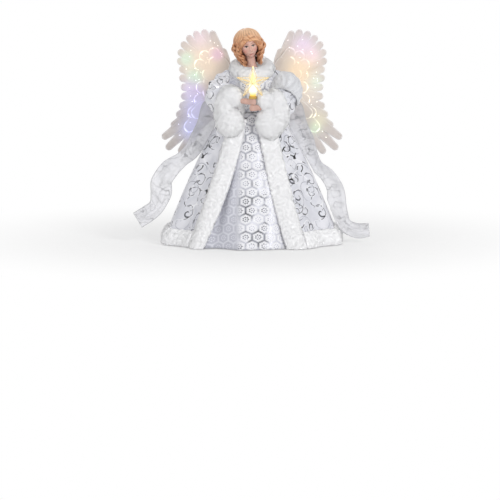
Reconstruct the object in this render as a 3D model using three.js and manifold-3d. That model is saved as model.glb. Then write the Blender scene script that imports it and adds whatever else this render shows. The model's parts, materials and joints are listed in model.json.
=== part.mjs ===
// Angel tree topper: a hollow cone that slips over a tree's top shoot carries a doll in a brocade gown,
// an open robe trimmed with plush, folding light-up wings and a lit star held in both hands.
// Millimetres, +Z up. The figure faces -Y. Left and right are the figure's own, so left is +X.
import * as THREE from "three";
import { mergeVertices } from "three/addons/utils/BufferGeometryUtils.js";
import Module from "manifold-3d";

const wasm = await Module();
wasm.setup();

// Clearances
const GAP = 0.3; // between pieces that touch or turn on each other
const SEAT_GAP = 0.5; // between the battery box's rib and the faceted cone

// Base cone, its rim and the socket for the tree's top shoot
const RIM_OUTER_RADIUS = 92;
const RIM_WIDTH = 12;
const RIM_THICKNESS = 3;
const RIM_LIP = 3; // how far the rim stands out past the cone
const CONE_TOP_RADIUS = 28;
const CONE_TOP_Z = 200;
const CONE_WALL = 1.8;
const CONE_PLATE = 3;
const SOCKET_BORE_RADIUS = 15;
const SOCKET_WALL = 1.8;
const SOCKET_LENGTH = 105;
const SOCKET_PLATE = 3;
const WAIST_SCREW_RADIUS = 2;
const WAIST_SCREW_HEAD_RADIUS = 4;
const WAIST_SCREW_HEAD = 2.5;
const WAIST_SCREW_BITE = 14; // depth in the torso

// Trunk of the doll, as ellipses at named heights
const WAIST_Z = 218;
const WAIST_HALF = [35, 27];
const CHEST_Z = 246;
const CHEST_HALF = [37, 28];
const SHOULDER_Z = 268;
const SHOULDER_HALF = [42, 26];
const SLOPE_Z = 281;
const SLOPE_HALF = [30, 21];
const NECK_BASE_Z = 290;
const NECK_BASE_HALF = [15, 14];
const TORSO_FOOT_HALF = [27, 25];
const BODICE_CLOTH = 1.4;

// Gown, robe and their plush trim
const HEM_Z = 1;
const GOWN_CLOTH = 1.5;
const GOWN_HEM_HALF_WIDTH = 138;
const HEM_DEPTH_SHARE = 0.79; // depth of the skirt over its width, at the hem
const SKIRT_FORWARD = 6; // how far the hem's middle stands in front of the waist's
const FLARE_POWER = 0.73; // under 1 makes the skirt bell out below the waist
const FOLD_COUNT = 10;
const FOLD_DEPTH = 6;
const ROBE_CLOTH = 1.5;
const ROBE_WAIST_STANDOFF = 0.9; // how far the robe stands off the gown
const ROBE_HEM_STANDOFF = 6;
const ROBE_EDGE_TOP = THREE.MathUtils.degToRad(8);
const ROBE_EDGE_HEM_LEFT = THREE.MathUtils.degToRad(23.5);
const ROBE_EDGE_HEM_RIGHT = THREE.MathUtils.degToRad(32);
const SIDE_SEAM = THREE.MathUtils.degToRad(96);
const TRIM_WIDTH = 30;
const TRIM_THICKNESS = 7;
const TRIM_TOP_Z = 208;
const HEM_TRIM_HEIGHT = 26;
const HEM_TRIM_THICKNESS = 7.5;

// Head with its moulded hair
const HEAD_CENTRE = [-6, -5, 328];
const HEAD_TILT = THREE.MathUtils.degToRad(-11); // crown towards the figure's right
const HEAD_TURN = THREE.MathUtils.degToRad(8); // face towards the figure's left
const FACE_HALF = [16, 17, 20.5];
const HAIR_CAP_HALF = [23.5, 22, 24];
const HAIR_CAP_RISE = 3.2; // of the cap's centre over the face's
const HAIR_CAP_BACK = 6;
const NECK_RADIUS = 7.5;
const NECK_PIN_RADIUS = 2.5;
const NECK_PIN_LENGTH = 24;

// Arms: the wire's path and the wide sleeve round it, for the figure's left arm; the right arm is mirrored
const WIRE_RADIUS = 1.4;
const WIRE_ROOT = [26, 2, 272];
const SHOULDER_POINT = [42, 0, 268];
const ELBOW_POINT = [59, -24, 244];
const LEFT_WRIST = [23, -57, 228.6];
const RIGHT_WRIST = [22, -57, 240.3]; // mirrored to -X
const SLEEVE_ROOT = [30, 2, 271];
const LEFT_SLEEVE_MOUTH = [30, -51, 213];
const RIGHT_SLEEVE_MOUTH = [31, -49, 221]; // mirrored to -X
const SLEEVE_WALL = 1.4;
const SLEEVE_SHOULDER_HALF = [15, 15]; // across, up
const SLEEVE_ELBOW_HALF = [16.5, 18];
const SLEEVE_MOUTH_HALF = [15.5, 33];
const PUFF_START = 0.13; // the sheer puff on the left upper arm, along the sleeve
const PUFF_END = 0.56;
const PUFF_SWELL = 8;
const PUFF_CLOTH = 1;
const PUFF_FIT = 0.5; // ease over the sleeve where it is tight
const CUFF_START = 0.7; // along the sleeve, 0 to 1
const CUFF_THICKNESS = 9;
const CUFF_LIP = 8; // plush past the sleeve's mouth
const CUFF_ROLL = 8; // how far the lip rolls in over the mouth

// Hands and the star that they hold
const HAND_HALF = [8.5, 5, 5]; // palm: along the hand, front to back, high
const FINGER_RADIUS = 1.5;
const FINGER_TIP_LENGTH = 6; // past the bend in front of the stem
const FINGER_CLEAR = 4.6; // from the stem's middle forward to the bend
const FINGER_PITCH = 2.3;
const THUMB_LENGTH = 10;
const WRIST_RADIUS = 4.2;
const STAR_CENTRE = [1.5, -66, 271];
const STAR_OUTER_RADIUS = 28.5;
const STAR_INNER_RADIUS = 11.5;
const STAR_RIDGE = 7.5; // half thickness at the middle
const STAR_TIP = 1.2; // half thickness at the edge
const BULB_RADIUS = 6.4;
const BULB_LENGTH = 40;
const BULB_FOOT_Z = 249;
const STAR_CUP_RADIUS = 6.8;
const STAR_CUP_HEIGHT = 4;
const STAR_STEM_RADIUS = 1.8;
const STAR_STEM_LENGTH = 12;

// Collar
const COLLAR_PATH_HALF = [25.5, 23];
const COLLAR_SECTION_HALF = [12, 12];
const COLLAR_Z = 286;
const COLLAR_FRONT_DROP = 8;

// Wings: hinge, root and feathers. Feather places are seen from the front, outwards and up from the hinge
const HINGE_X = 24;
const HINGE_Y = 44;
const HINGE_Z = 249; // middle of the barrel
const WING_SWEEP = THREE.MathUtils.degToRad(16);
const PIN_RADIUS = 1.5;
const BARREL_RADIUS = 4.6;
const BARREL_LENGTH = 22;
const EAR_THICKNESS = 4;
const ROOT_LENGTH = 34;
const ROOT_THICKNESS = 7.4;
const ROOT_HEIGHT = 20;
const WING_FILM = 1.2;
const FEATHER_HALF = [5, 8.8, 5.4]; // at its root, at its widest and where its tip begins
const FEATHER_WIDEST = 0.68; // along its length
const FEATHER_TIP = 4; // length of the blunt tip
const FAN_CENTRE = [54.5, 298]; // middle of the upper fan's tips
const FAN_RADIUS = 48;
const FAN_FEATHERS = 8;
const FAN_FIRST = THREE.MathUtils.degToRad(104);
const FAN_LAST = THREE.MathUtils.degToRad(-22);
const EDGE_TIPS = [[99, 265], [96.5, 249], [96, 233], [99, 216], [104, 201]]; // down the outer edge
const TAIL_TIPS = [[113, 183], [128, 163], [121, 145], [99, 139]]; // the long feathers at the bottom
const FEATHER_ROOT = [14, 259]; // of the fan
const INNER_TIP = [24, 316]; // the short feather beside the neck
const TAIL_ROOT = [24, 240];
const COVERT_SHARE = 0.62; // length of the front row of feathers over the back row
const FIBRE_SHARE = 0.86;
const FIBRE_THICKNESS = 1.2;
const LED_RADIUS = 2.2;
const LED_LENGTH = 8;
const FERRULE_LENGTH = 8;

// Wing bracket on the doll's back
const TRAY_HALF_WIDTH = 15;
const TRAY_HEIGHT = 40;
const TRAY_DEPTH = 11;
const TRAY_WALL = 2;
const COVER_THICKNESS = 2;
const PEG_RADIUS = 3;
const PEG_DEPTH = 12; // in the torso
const PEG_SPACING = 26;
const BOARD_THICKNESS = 1.6;
const SCREW_RADIUS = 1.2;
const SCREW_HEAD_RADIUS = 2.4;
const SCREW_HEAD = 1.4;
const BOSS_RADIUS = 3;
const BOARD_MARGIN = 1;

// Scarf of sheer cloth
const SCARF_CLOTH = 1;
const SCARF_BACK_Z = 207;
const SCARF_WAVE = 2;

// Battery box inside the cone's back
const BOX_BASE_HEIGHT = 13; // of the box's lower end, up the cone's wall
const CELL_RADIUS = 7.1;
const CELL_LENGTH = 50;
const CELL_PITCH = 14.8;
const CELL_COUNT = 3;
const BOX_WALL = 1.6;
const PLATE_THICKNESS = 0.8;
const SWITCH_BAY = 5;
const RIB_HALF_WIDTH = 3;
const RIB_DEPTH = 5;
const RIB_SCREW_INSET = 12;
const RIB_SCREW_BITE = 4;
const DOOR_THICKNESS = 1.8;
const DOOR_PIN_RADIUS = 1.1;
const DOOR_HEEL_RADIUS = 1.5;
const DOOR_END_GAP = 0.4;
const EAR_WALL = 2.2;
const EAR_REACH = 3.4;
const SWITCH_TRAVEL = 4;
const SWITCH_STEM = [4, 4, 4.5]; // along the travel, across, out
const SWITCH_FLANGE = [7, 7, 1.6];
const LEAD_RADIUS = 1.3;
const LEAD_STRAIGHT = 6; // straight run on each side of a hole
const LEAD_BEND = 30; // run below the cone's plate in which the lead comes in from the box
const LEAD_SWAY = 3; // side step of the lead in the trunk
const STAR_LEAD_RADIUS = 0.9;
const STAR_LEAD_DROP = 4; // of the star's lead below the arm wire

// Facets
const CONE_SIDES = 28;
const SOCKET_SIDES = 20;
const ROUND_SIDES = 12;
const SMALL_SIDES = 8;
const GOWN_COLUMNS = 60;
const SLEEVE_COLUMNS = 14;
const SLEEVE_ROWS = 8;
const COLLAR_COLUMNS = 20;
const COLLAR_SIDES = 8;

const vec = (x, y, z) => new THREE.Vector3(x, y, z);
const lerp = THREE.MathUtils.lerp;

// Evenly spaced values from one to another, both included.
const spread = (from, to, steps) => Array.from({ length: steps + 1 }, (_, i) => lerp(from, to, i / steps));

// Closed meshes and booleans

// A geometry from points and triangles, turned so that its faces point out.
function closedGeometry(points, triangles) {
  let volume = 0;
  for (let i = 0; i < triangles.length; i += 3) {
    const [a, b, c] = [points[triangles[i]], points[triangles[i + 1]], points[triangles[i + 2]]];
    volume += a.dot(b.clone().cross(c));
  }
  const order = volume < 0 ? triangles.slice().reverse() : triangles;
  const geometry = new THREE.BufferGeometry().setFromPoints(points);
  geometry.setIndex(order);
  return geometry;
}

// A three.js geometry as a solid that can be joined and cut.
function solidOf(geometry) {
  const bare = geometry.index ? geometry.toNonIndexed() : geometry.clone();
  const points = new THREE.BufferGeometry().setAttribute("position", bare.getAttribute("position"));
  const merged = mergeVertices(points, 1e-4);
  const index = merged.index.array;
  const kept = [];
  for (let i = 0; i < index.length; i += 3) {
    const [a, b, c] = [index[i], index[i + 1], index[i + 2]];
    if (a !== b && b !== c && a !== c) kept.push(a, b, c);
  }
  const mesh = new wasm.Mesh({
    numProp: 3,
    vertProperties: new Float32Array(merged.attributes.position.array),
    triVerts: new Uint32Array(kept),
  });
  return new wasm.Manifold(mesh);
}

// A solid's largest body as a three.js geometry.
function geometryOf(solid) {
  const bodies = solid.decompose().sort((a, b) => b.volume() - a.volume());
  const mesh = bodies[0].getMesh();
  const positions = new Float32Array(mesh.numVert * 3);
  for (let i = 0; i < mesh.numVert; i++) {
    const start = i * mesh.numProp;
    positions.set(mesh.vertProperties.subarray(start, start + 3), i * 3);
  }
  const geometry = new THREE.BufferGeometry();
  geometry.setAttribute("position", new THREE.BufferAttribute(positions, 3));
  geometry.setIndex(new THREE.BufferAttribute(new Uint32Array(mesh.triVerts), 1));
  return geometry;
}

const joined = (...geometries) => geometries.map(solidOf).reduce((sum, next) => sum.add(next));
const cut = (solid, ...tools) => tools.reduce((left, tool) => left.subtract(solidOf(tool)), solid);

// Shape builders

// A sheet with thickness between two grids of points. Rows run along it, columns across or round it.
function sheetGeometry(front, back, isRing) {
  const rows = front.length;
  const columns = front[0].length;
  const points = [...front.flat(), ...back.flat()];
  const at = (side, row, column) => (side * rows + row) * columns + (column % columns);
  const triangles = [];
  const quad = (a, b, c, d) => triangles.push(a, b, c, a, c, d);
  const steps = isRing ? columns : columns - 1;
  for (let r = 0; r + 1 < rows; r++) {
    for (let c = 0; c < steps; c++) {
      quad(at(0, r, c), at(0, r, c + 1), at(0, r + 1, c + 1), at(0, r + 1, c));
      quad(at(1, r, c), at(1, r + 1, c), at(1, r + 1, c + 1), at(1, r, c + 1));
    }
    if (!isRing) {
      const end = columns - 1;
      quad(at(0, r, 0), at(0, r + 1, 0), at(1, r + 1, 0), at(1, r, 0));
      quad(at(0, r, end), at(1, r, end), at(1, r + 1, end), at(0, r + 1, end));
    }
  }
  for (let c = 0; c < steps; c++) {
    const last = rows - 1;
    quad(at(0, 0, c), at(1, 0, c), at(1, 0, c + 1), at(0, 0, c + 1));
    quad(at(0, last, c), at(0, last, c + 1), at(1, last, c + 1), at(1, last, c));
  }
  return closedGeometry(points, triangles);
}

// A solid through rings of points, closed by a fan at each end.
function loftGeometry(rings) {
  const columns = rings[0].length;
  const middle = (ring) => ring.reduce((sum, p) => sum.add(p), vec(0, 0, 0)).divideScalar(columns);
  const points = [...rings.flat(), middle(rings[0]), middle(rings[rings.length - 1])];
  const triangles = [];
  const at = (row, column) => row * columns + (column % columns);
  const low = rings.length * columns;
  for (let r = 0; r + 1 < rings.length; r++) {
    for (let c = 0; c < columns; c++) {
      triangles.push(at(r, c), at(r, c + 1), at(r + 1, c + 1));
      triangles.push(at(r, c), at(r + 1, c + 1), at(r + 1, c));
    }
  }
  for (let c = 0; c < columns; c++) {
    triangles.push(low, at(0, c + 1), at(0, c));
    triangles.push(low + 1, at(rings.length - 1, c), at(rings.length - 1, c + 1));
  }
  return closedGeometry(points, triangles);
}

// A turned piece: [radius, height] points about the Z axis through (x, y).
function turned(profile, sides, x = 0, y = 0) {
  const points = profile.map(([radius, height]) => new THREE.Vector2(radius, height));
  const geometry = new THREE.LatheGeometry(points, sides).rotateX(Math.PI / 2).translate(x, y, 0);
  return solidOf(geometry).volume() < 0 ? flipped(geometry) : geometry;
}

function flipped(geometry) {
  const index = Array.from(geometry.index.array).reverse();
  return geometry.clone().setIndex(index);
}

const rod = (radius, low, high, sides, x, y) =>
  turned([[0, low], [radius, low], [radius, high], [0, high]], sides, x, y);

const tube = (bore, radius, low, high, sides, x, y) =>
  turned([[bore, low], [radius, low], [radius, high], [bore, high], [bore, low]], sides, x, y);

// A box between two corners.
function block(low, high) {
  const size = high.map((value, axis) => value - low[axis]);
  const centre = high.map((value, axis) => (value + low[axis]) / 2);
  return new THREE.BoxGeometry(...size).translate(...centre);
}

// A rod between two points.
function rodBetween(start, end, radius, sides) {
  const length = start.distanceTo(end);
  const turn = new THREE.Quaternion().setFromUnitVectors(vec(0, 1, 0), end.clone().sub(start).normalize());
  const geometry = new THREE.CylinderGeometry(radius, radius, length, sides);
  return geometry.applyQuaternion(turn).translate(...start.clone().add(end).divideScalar(2).toArray());
}

// A round-ended rod between two points.
function capsuleBetween(start, end, radius, sides) {
  const turn = new THREE.Quaternion().setFromUnitVectors(vec(0, 1, 0), end.clone().sub(start).normalize());
  const geometry = new THREE.CapsuleGeometry(radius, start.distanceTo(end), 1, sides);
  return geometry.applyQuaternion(turn).translate(...start.clone().add(end).divideScalar(2).toArray());
}

const ellipsoid = (half, centre, across, up) =>
  new THREE.SphereGeometry(1, across, up).scale(...half).translate(...centre);

// A round tube along a curve.
function cable(curve, radius, sides, steps) {
  const section = new THREE.Shape();
  section.absarc(0, 0, radius, 0, 2 * Math.PI);
  return new THREE.ExtrudeGeometry(section, {
    steps,
    curveSegments: sides / 2,
    extrudePath: curve,
    bevelEnabled: false,
  });
}

const smoothCurve = (points) => new THREE.CatmullRomCurve3(points, false, "centripetal");

// Materials
function material(colour, roughness, metalness = 0) {
  return new THREE.MeshStandardMaterial({ color: colour, roughness, metalness });
}
const WHITE_PLASTIC = material(0xf2f1ee, 0.5);
const SKIN_RESIN = material(0xe6b8a2, 0.45);
const STEEL = material(0xb9bcc0, 0.35, 1);
const BRASS = material(0xc8a050, 0.35, 1);
const BROCADE = material(0xdcdce2, 0.45, 0.2);
const SATIN = material(0xd0d0da, 0.4, 0.2);
const PLUSH = material(0xf6f5f2, 0.95);
const ORGANZA = material(0xdfdfe3, 0.6);
const FILM = material(0xece4e8, 0.25);
const FIBRE = material(0xf4f4ff, 0.2);
const ACRYLIC = material(0xf7e6b0, 0.1);
const BULB = material(0xffdc7a, 0.3);
const BOARD = material(0x2e6b42, 0.6);
const BLACK_PLASTIC = material(0x222326, 0.5);
const CELL_JACKET = material(0x7c838c, 0.4, 0.6);
const LEAD_JACKET = material(0xe9e9e6, 0.6);

const topper = new THREE.Group();

function place(parent, name, geometry, finish) {
  const mesh = new THREE.Mesh(geometry, finish);
  mesh.name = name;
  parent.add(mesh);
}

// Base

const coneBottomZ = RIM_THICKNESS + GAP;
const coneBaseRadius = RIM_OUTER_RADIUS - RIM_LIP;
const coneSlope = Math.atan2(coneBaseRadius - CONE_TOP_RADIUS, CONE_TOP_Z - coneBottomZ);
const coneRadiusAt = (z) =>
  lerp(coneBaseRadius, CONE_TOP_RADIUS, (z - coneBottomZ) / (CONE_TOP_Z - coneBottomZ));
const plateUnderZ = CONE_TOP_Z - CONE_PLATE;

function baseRim() {
  const [inner, outer] = [RIM_OUTER_RADIUS - RIM_WIDTH, RIM_OUTER_RADIUS];
  return tube(inner, outer, 0, RIM_THICKNESS, CONE_SIDES);
}

function baseCone() {
  const wall = CONE_WALL / Math.cos(coneSlope);
  const hole = WAIST_SCREW_RADIUS + GAP;
  const shell = turned(
    [
      [coneBaseRadius - wall, coneBottomZ],
      [coneBaseRadius, coneBottomZ],
      [CONE_TOP_RADIUS, CONE_TOP_Z],
      [hole, CONE_TOP_Z],
      [hole, plateUnderZ],
      [coneRadiusAt(plateUnderZ) - wall, plateUnderZ],
      [coneBaseRadius - wall, coneBottomZ],
    ],
    CONE_SIDES,
  );
  return cut(solidOf(shell), powerLead(GAP), ...boxScrewHeights.map((height) => boxScrewHole(height)));
}

const socketTopZ = plateUnderZ - GAP;
const socketMouthZ = socketTopZ - SOCKET_LENGTH;
const socketPlateZ = socketTopZ - SOCKET_PLATE;

function leaderSocket() {
  const outer = SOCKET_BORE_RADIUS + SOCKET_WALL;
  const hole = WAIST_SCREW_RADIUS + GAP;
  return turned(
    [
      [SOCKET_BORE_RADIUS, socketMouthZ],
      [outer, socketMouthZ],
      [outer, socketTopZ],
      [hole, socketTopZ],
      [hole, socketPlateZ],
      [SOCKET_BORE_RADIUS, socketPlateZ],
      [SOCKET_BORE_RADIUS, socketMouthZ],
    ],
    SOCKET_SIDES,
  );
}

const waistScrewTipZ = CONE_TOP_Z + WAIST_SCREW_BITE;

function waistScrew() {
  const headTop = socketPlateZ - GAP;
  return turned(
    [
      [0, headTop - WAIST_SCREW_HEAD],
      [WAIST_SCREW_HEAD_RADIUS, headTop - WAIST_SCREW_HEAD],
      [WAIST_SCREW_HEAD_RADIUS, headTop],
      [WAIST_SCREW_RADIUS, headTop],
      [WAIST_SCREW_RADIUS, waistScrewTipZ],
      [0, waistScrewTipZ],
    ],
    SMALL_SIDES,
  );
}

// Trunk

const TRUNK = [
  [WAIST_Z, WAIST_HALF],
  [CHEST_Z, CHEST_HALF],
  [SHOULDER_Z, SHOULDER_HALF],
  [SLOPE_Z, SLOPE_HALF],
  [NECK_BASE_Z, NECK_BASE_HALF],
];

// An ellipse at one height. Angle 0 is the front, and angles grow towards the figure's left.
function ellipseRing(half, z, columns) {
  return Array.from({ length: columns }, (_, i) => {
    const angle = (i / columns) * 2 * Math.PI;
    return vec(half[0] * Math.sin(angle), -half[1] * Math.cos(angle), z);
  });
}

const TRUNK_COLUMNS = 16;
const trunkRings = (grow) =>
  TRUNK.map(([z, half]) => ellipseRing([half[0] + grow, half[1] + grow], z, TRUNK_COLUMNS));

// Everything inside the bodice's outer face, to cut what is sewn or laid against it.
function trunkEnvelope(grow) {
  const rings = trunkRings(grow);
  const [low, high] = [rings[0], rings[rings.length - 1]];
  const raised = (ring, rise) => ring.map((p) => p.clone().setZ(p.z + rise));
  return loftGeometry([raised(low, -grow), ...rings, raised(high, grow)]);
}

function torso() {
  const inset = -(BODICE_CLOTH + GAP);
  const rings = trunkRings(inset);
  const foot = ellipseRing(TORSO_FOOT_HALF, CONE_TOP_Z + GAP, TRUNK_COLUMNS);
  const body = solidOf(loftGeometry([foot, ...rings]));
  const screwHole = rod(WAIST_SCREW_RADIUS + GAP, CONE_TOP_Z, waistScrewTipZ + GAP, SMALL_SIDES);
  return cut(
    body,
    screwHole,
    neckPin(GAP),
    armWire(1, GAP),
    armWire(-1, GAP),
    starLead(GAP),
    powerLead(GAP),
    ...trayPegs(GAP),
  );
}

function bodice() {
  const lift = (rings) => [rings[0].map((p) => p.clone().setZ(WAIST_Z + GAP)), ...rings.slice(1)];
  const shell = sheetGeometry(lift(trunkRings(0)), lift(trunkRings(-BODICE_CLOTH)), true);
  return cut(
    solidOf(shell),
    armWire(1, GAP),
    armWire(-1, GAP),
    starLead(GAP),
    powerLead(GAP),
    ...trayPegs(GAP),
  );
}

// Head

const headTurn = new THREE.Matrix4()
  .makeTranslation(...HEAD_CENTRE)
  .multiply(new THREE.Matrix4().makeRotationY(HEAD_TILT))
  .multiply(new THREE.Matrix4().makeRotationZ(HEAD_TURN));
const neckFootZ = NECK_BASE_Z + GAP;
const neckTopZ = HEAD_CENTRE[2] - FACE_HALF[2] / 2;

// Lumps of moulded curls, as shares of the hair cap: across, back, up, and radius.
const CURLS = [
  [0.86, 0, -0.42, 0.36],
  [0.7, -0.2, -0.92, 0.34],
  [0.52, -0.25, -1.28, 0.3],
  [0.5, 0.7, -0.9, 0.5],
];

function headShapes(grow) {
  const [across, deep, high] = HAIR_CAP_HALF;
  const capCentre = [0, HAIR_CAP_BACK, HAIR_CAP_RISE];
  const grown = (half) => half.map((value) => value + grow);
  const shapes = [
    ellipsoid(grown(FACE_HALF), [0, 0, 0], 12, 7),
    ellipsoid(grown(HAIR_CAP_HALF), capCentre, 12, 8),
  ];
  for (const [side, back, up, size] of CURLS) {
    const radius = size * across + grow;
    for (const hand of [-1, 1]) {
      const centre = [hand * side * across, HAIR_CAP_BACK + back * deep, HAIR_CAP_RISE + up * high];
      shapes.push(ellipsoid([radius, radius, radius * 1.15], centre, 7, 4));
    }
  }
  const neckRadius = NECK_RADIUS + grow;
  const neck = rodBetween(
    vec(0, HEAD_CENTRE[1] / 2, neckFootZ - grow),
    vec(HEAD_CENTRE[0], HEAD_CENTRE[1], neckTopZ),
    neckRadius,
    ROUND_SIDES,
  );
  return [...shapes.map((shape) => shape.applyMatrix4(headTurn)), neck];
}

// The lower neck is square to its own slope, so what reaches into the trunk is cut away.
function head() {
  return cut(joined(...headShapes(0)), trunkEnvelope(GAP), neckPin(GAP));
}

function neckPin(grow) {
  const middle = neckFootZ;
  const half = NECK_PIN_LENGTH / 2 + grow;
  return rod(NECK_PIN_RADIUS + grow, middle - half, middle + half, SMALL_SIDES, 0, HEAD_CENTRE[1] / 2);
}

// Arms

const mirrored = ([x, y, z], side) => vec(side * x, y, z);
const wristOf = (side) => mirrored(side > 0 ? LEFT_WRIST : RIGHT_WRIST, side);

function armCurve(side, drop = 0) {
  const points = [WIRE_ROOT, SHOULDER_POINT, ELBOW_POINT].map((point) => mirrored(point, side));
  points.push(wristOf(side));
  return smoothCurve(points.map((p) => p.setZ(p.z - drop)));
}

const armWire = (side, grow) => cable(armCurve(side), WIRE_RADIUS + grow, 6, 12);

// A ring of the sleeve at a share of its length, grown outwards. Past the elbow it comes to hang upright.
function sleeveRing(side, share, grow, past = 0) {
  const mouth = side > 0 ? LEFT_SLEEVE_MOUTH : RIGHT_SLEEVE_MOUTH;
  const points = [SLEEVE_ROOT, SHOULDER_POINT, ELBOW_POINT, mouth].map((p) => mirrored(p, side));
  const curve = smoothCurve(points);
  const tangent = curve.getTangentAt(share);
  const centre = curve.getPointAt(share).addScaledVector(tangent, past);
  const elbow = 0.5;
  const hang = Math.max(0, (share - elbow) / (1 - elbow));
  const up = vec(0, 0, 1).addScaledVector(tangent, -tangent.z * (1 - hang)).normalize();
  const across = tangent.clone().cross(up).normalize();
  const [from, to, part] =
    share < elbow
      ? [SLEEVE_SHOULDER_HALF, SLEEVE_ELBOW_HALF, share / elbow]
      : [SLEEVE_ELBOW_HALF, SLEEVE_MOUTH_HALF, (share - elbow) / (1 - elbow)];
  const halfAcross = lerp(from[0], to[0], part) + grow;
  const halfUp = lerp(from[1], to[1], part) + grow;
  return Array.from({ length: SLEEVE_COLUMNS }, (_, i) => {
    const angle = (i / SLEEVE_COLUMNS) * 2 * Math.PI;
    return centre
      .clone()
      .addScaledVector(across, halfAcross * Math.cos(angle))
      .addScaledVector(up, halfUp * Math.sin(angle));
  });
}

const sleeveShares = spread(0, 1, SLEEVE_ROWS);
const sleeveEnvelope = (side, grow) =>
  loftGeometry(sleeveShares.map((share) => sleeveRing(side, share, grow)));

function sleeve(side) {
  const outer = sleeveShares.map((share) => sleeveRing(side, share, 0));
  const inner = sleeveShares.map((share) => sleeveRing(side, share, -SLEEVE_WALL));
  const cloth = solidOf(sheetGeometry(outer, inner, true));
  return cut(cloth, trunkEnvelope(GAP), robeEnvelope(GAP), starLead(GAP), ...handShapes(side, GAP));
}

// Sheer cloth gathered round the left upper arm, tight at both ends and full in the middle.
const PUFF_ROWS = 4;
const puffShares = spread(PUFF_START, PUFF_END, PUFF_ROWS);
const puffRings = (grow) =>
  puffShares.map((share, i) => {
    const swell = PUFF_SWELL * Math.sin((Math.PI * i) / PUFF_ROWS);
    return sleeveRing(1, share, GAP + PUFF_FIT + swell + grow);
  });

function sleevePuff() {
  const cloth = solidOf(sheetGeometry(puffRings(PUFF_CLOTH), puffRings(0), true));
  return cut(cloth, trunkEnvelope(GAP), sleeveEnvelope(1, GAP), cuffEnvelope(1, GAP));
}

// The cuff lies on the sleeve's last rows and rolls past its mouth.
const cuffShares = sleeveShares.filter((share) => share >= CUFF_START - 1e-6);

function cuffRings(side, grow) {
  const swell = (i) => Math.sqrt(Math.sin((Math.PI * (i + 0.6)) / (cuffShares.length + 0.6)));
  const rings = cuffShares.map((share, i) => {
    return sleeveRing(side, share, GAP + CUFF_THICKNESS * swell(i) + grow);
  });
  rings.push(sleeveRing(side, 1, GAP + CUFF_THICKNESS / 2 + grow, CUFF_LIP * 0.7 + grow));
  rings.push(sleeveRing(side, 1, grow - CUFF_ROLL / 2, CUFF_LIP + grow));
  return rings;
}

const cuffEnvelope = (side, grow) => loftGeometry(cuffRings(side, grow));

function cuff(side) {
  const inner = cuffShares.map((share) => sleeveRing(side, share, GAP));
  inner.push(sleeveRing(side, 1, GAP, GAP));
  inner.push(sleeveRing(side, 1, -CUFF_ROLL, CUFF_LIP / 2));
  const plush = solidOf(sheetGeometry(cuffRings(side, 0), inner, true));
  const hands = [1, -1].flatMap((other) => handShapes(other, GAP));
  return cut(plush, robeEnvelope(GAP), starLead(GAP), ...hands);
}

// Hands and star

const starCupTopZ = BULB_FOOT_Z - GAP;
const starCupFootZ = starCupTopZ - STAR_CUP_HEIGHT;

// One hand is a loose fist beside the star's stem, with its fingers bent round in front of it.
function handShapes(side, grow) {
  const wrist = wristOf(side);
  const along = vec(-side, -0.35, side > 0 ? 0.06 : -0.06).normalize();
  const front = vec(0, 0, side).cross(along).normalize();
  const half = HAND_HALF.map((value) => value + grow);
  const palm = wrist.clone().addScaledVector(along, WRIST_RADIUS + HAND_HALF[0]);
  const basis = new THREE.Matrix4().makeBasis(along, front, along.clone().cross(front)).setPosition(palm);
  const shapes = [ellipsoid(half, [0, 0, 0], 8, 5).applyMatrix4(basis)];
  const knuckles = palm.clone().addScaledVector(along, HAND_HALF[0] * 0.35);
  knuckles.addScaledVector(front, HAND_HALF[1] * 0.5);
  for (let i = 0; i < 4; i++) {
    const level = palm.z + (i - 1.5) * FINGER_PITCH;
    const bend = vec(STAR_CENTRE[0], STAR_CENTRE[1] - FINGER_CLEAR, level);
    const reach = FINGER_TIP_LENGTH * (i === 0 || i === 3 ? 0.85 : 1);
    const tip = bend.clone().add(vec(-side * reach, reach * 0.35, 0));
    shapes.push(capsuleBetween(knuckles.clone().setZ(level), bend, FINGER_RADIUS + grow, 6));
    shapes.push(capsuleBetween(bend, tip, FINGER_RADIUS + grow, 6));
  }
  const thumbStart = palm.clone().addScaledVector(front, -HAND_HALF[1] * 0.7);
  const thumbTip = thumbStart.clone().addScaledVector(along, THUMB_LENGTH * 0.8);
  thumbTip.addScaledVector(front, -THUMB_LENGTH * 0.35);
  shapes.push(capsuleBetween(thumbStart, thumbTip, FINGER_RADIUS + grow, 6));
  const armEnd = wrist.clone().addScaledVector(along, -WRIST_RADIUS);
  shapes.push(capsuleBetween(armEnd, palm, WRIST_RADIUS + grow, 8));
  return shapes;
}

function hand(side) {
  const tools = [armWire(side, GAP), starHolder(GAP), starLead(GAP)];
  return cut(joined(...handShapes(side, 0)), ...tools);
}

// A five-pointed star with ridges from its middle to each point and notch.
function starGeometry() {
  const [x, y, z] = STAR_CENTRE;
  const outline = Array.from({ length: 10 }, (_, i) => {
    const angle = (i / 10) * 2 * Math.PI;
    const radius = i % 2 ? STAR_INNER_RADIUS : STAR_OUTER_RADIUS;
    return [x + radius * Math.sin(angle), z + radius * Math.cos(angle)];
  });
  const ring = (offset) => outline.map(([px, pz]) => vec(px, y + offset, pz));
  const middles = [vec(x, y - STAR_RIDGE, z), vec(x, y + STAR_RIDGE, z)];
  const points = [...ring(-STAR_TIP), ...ring(STAR_TIP), ...middles];
  const triangles = [];
  for (let i = 0; i < 10; i++) {
    const next = (i + 1) % 10;
    triangles.push(20, i, next, 21, 10 + next, 10 + i);
    triangles.push(i, 10 + i, 10 + next, i, 10 + next, next);
  }
  return closedGeometry(points, triangles);
}

const star = () => cut(solidOf(starGeometry()), starBulb(GAP));

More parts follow.
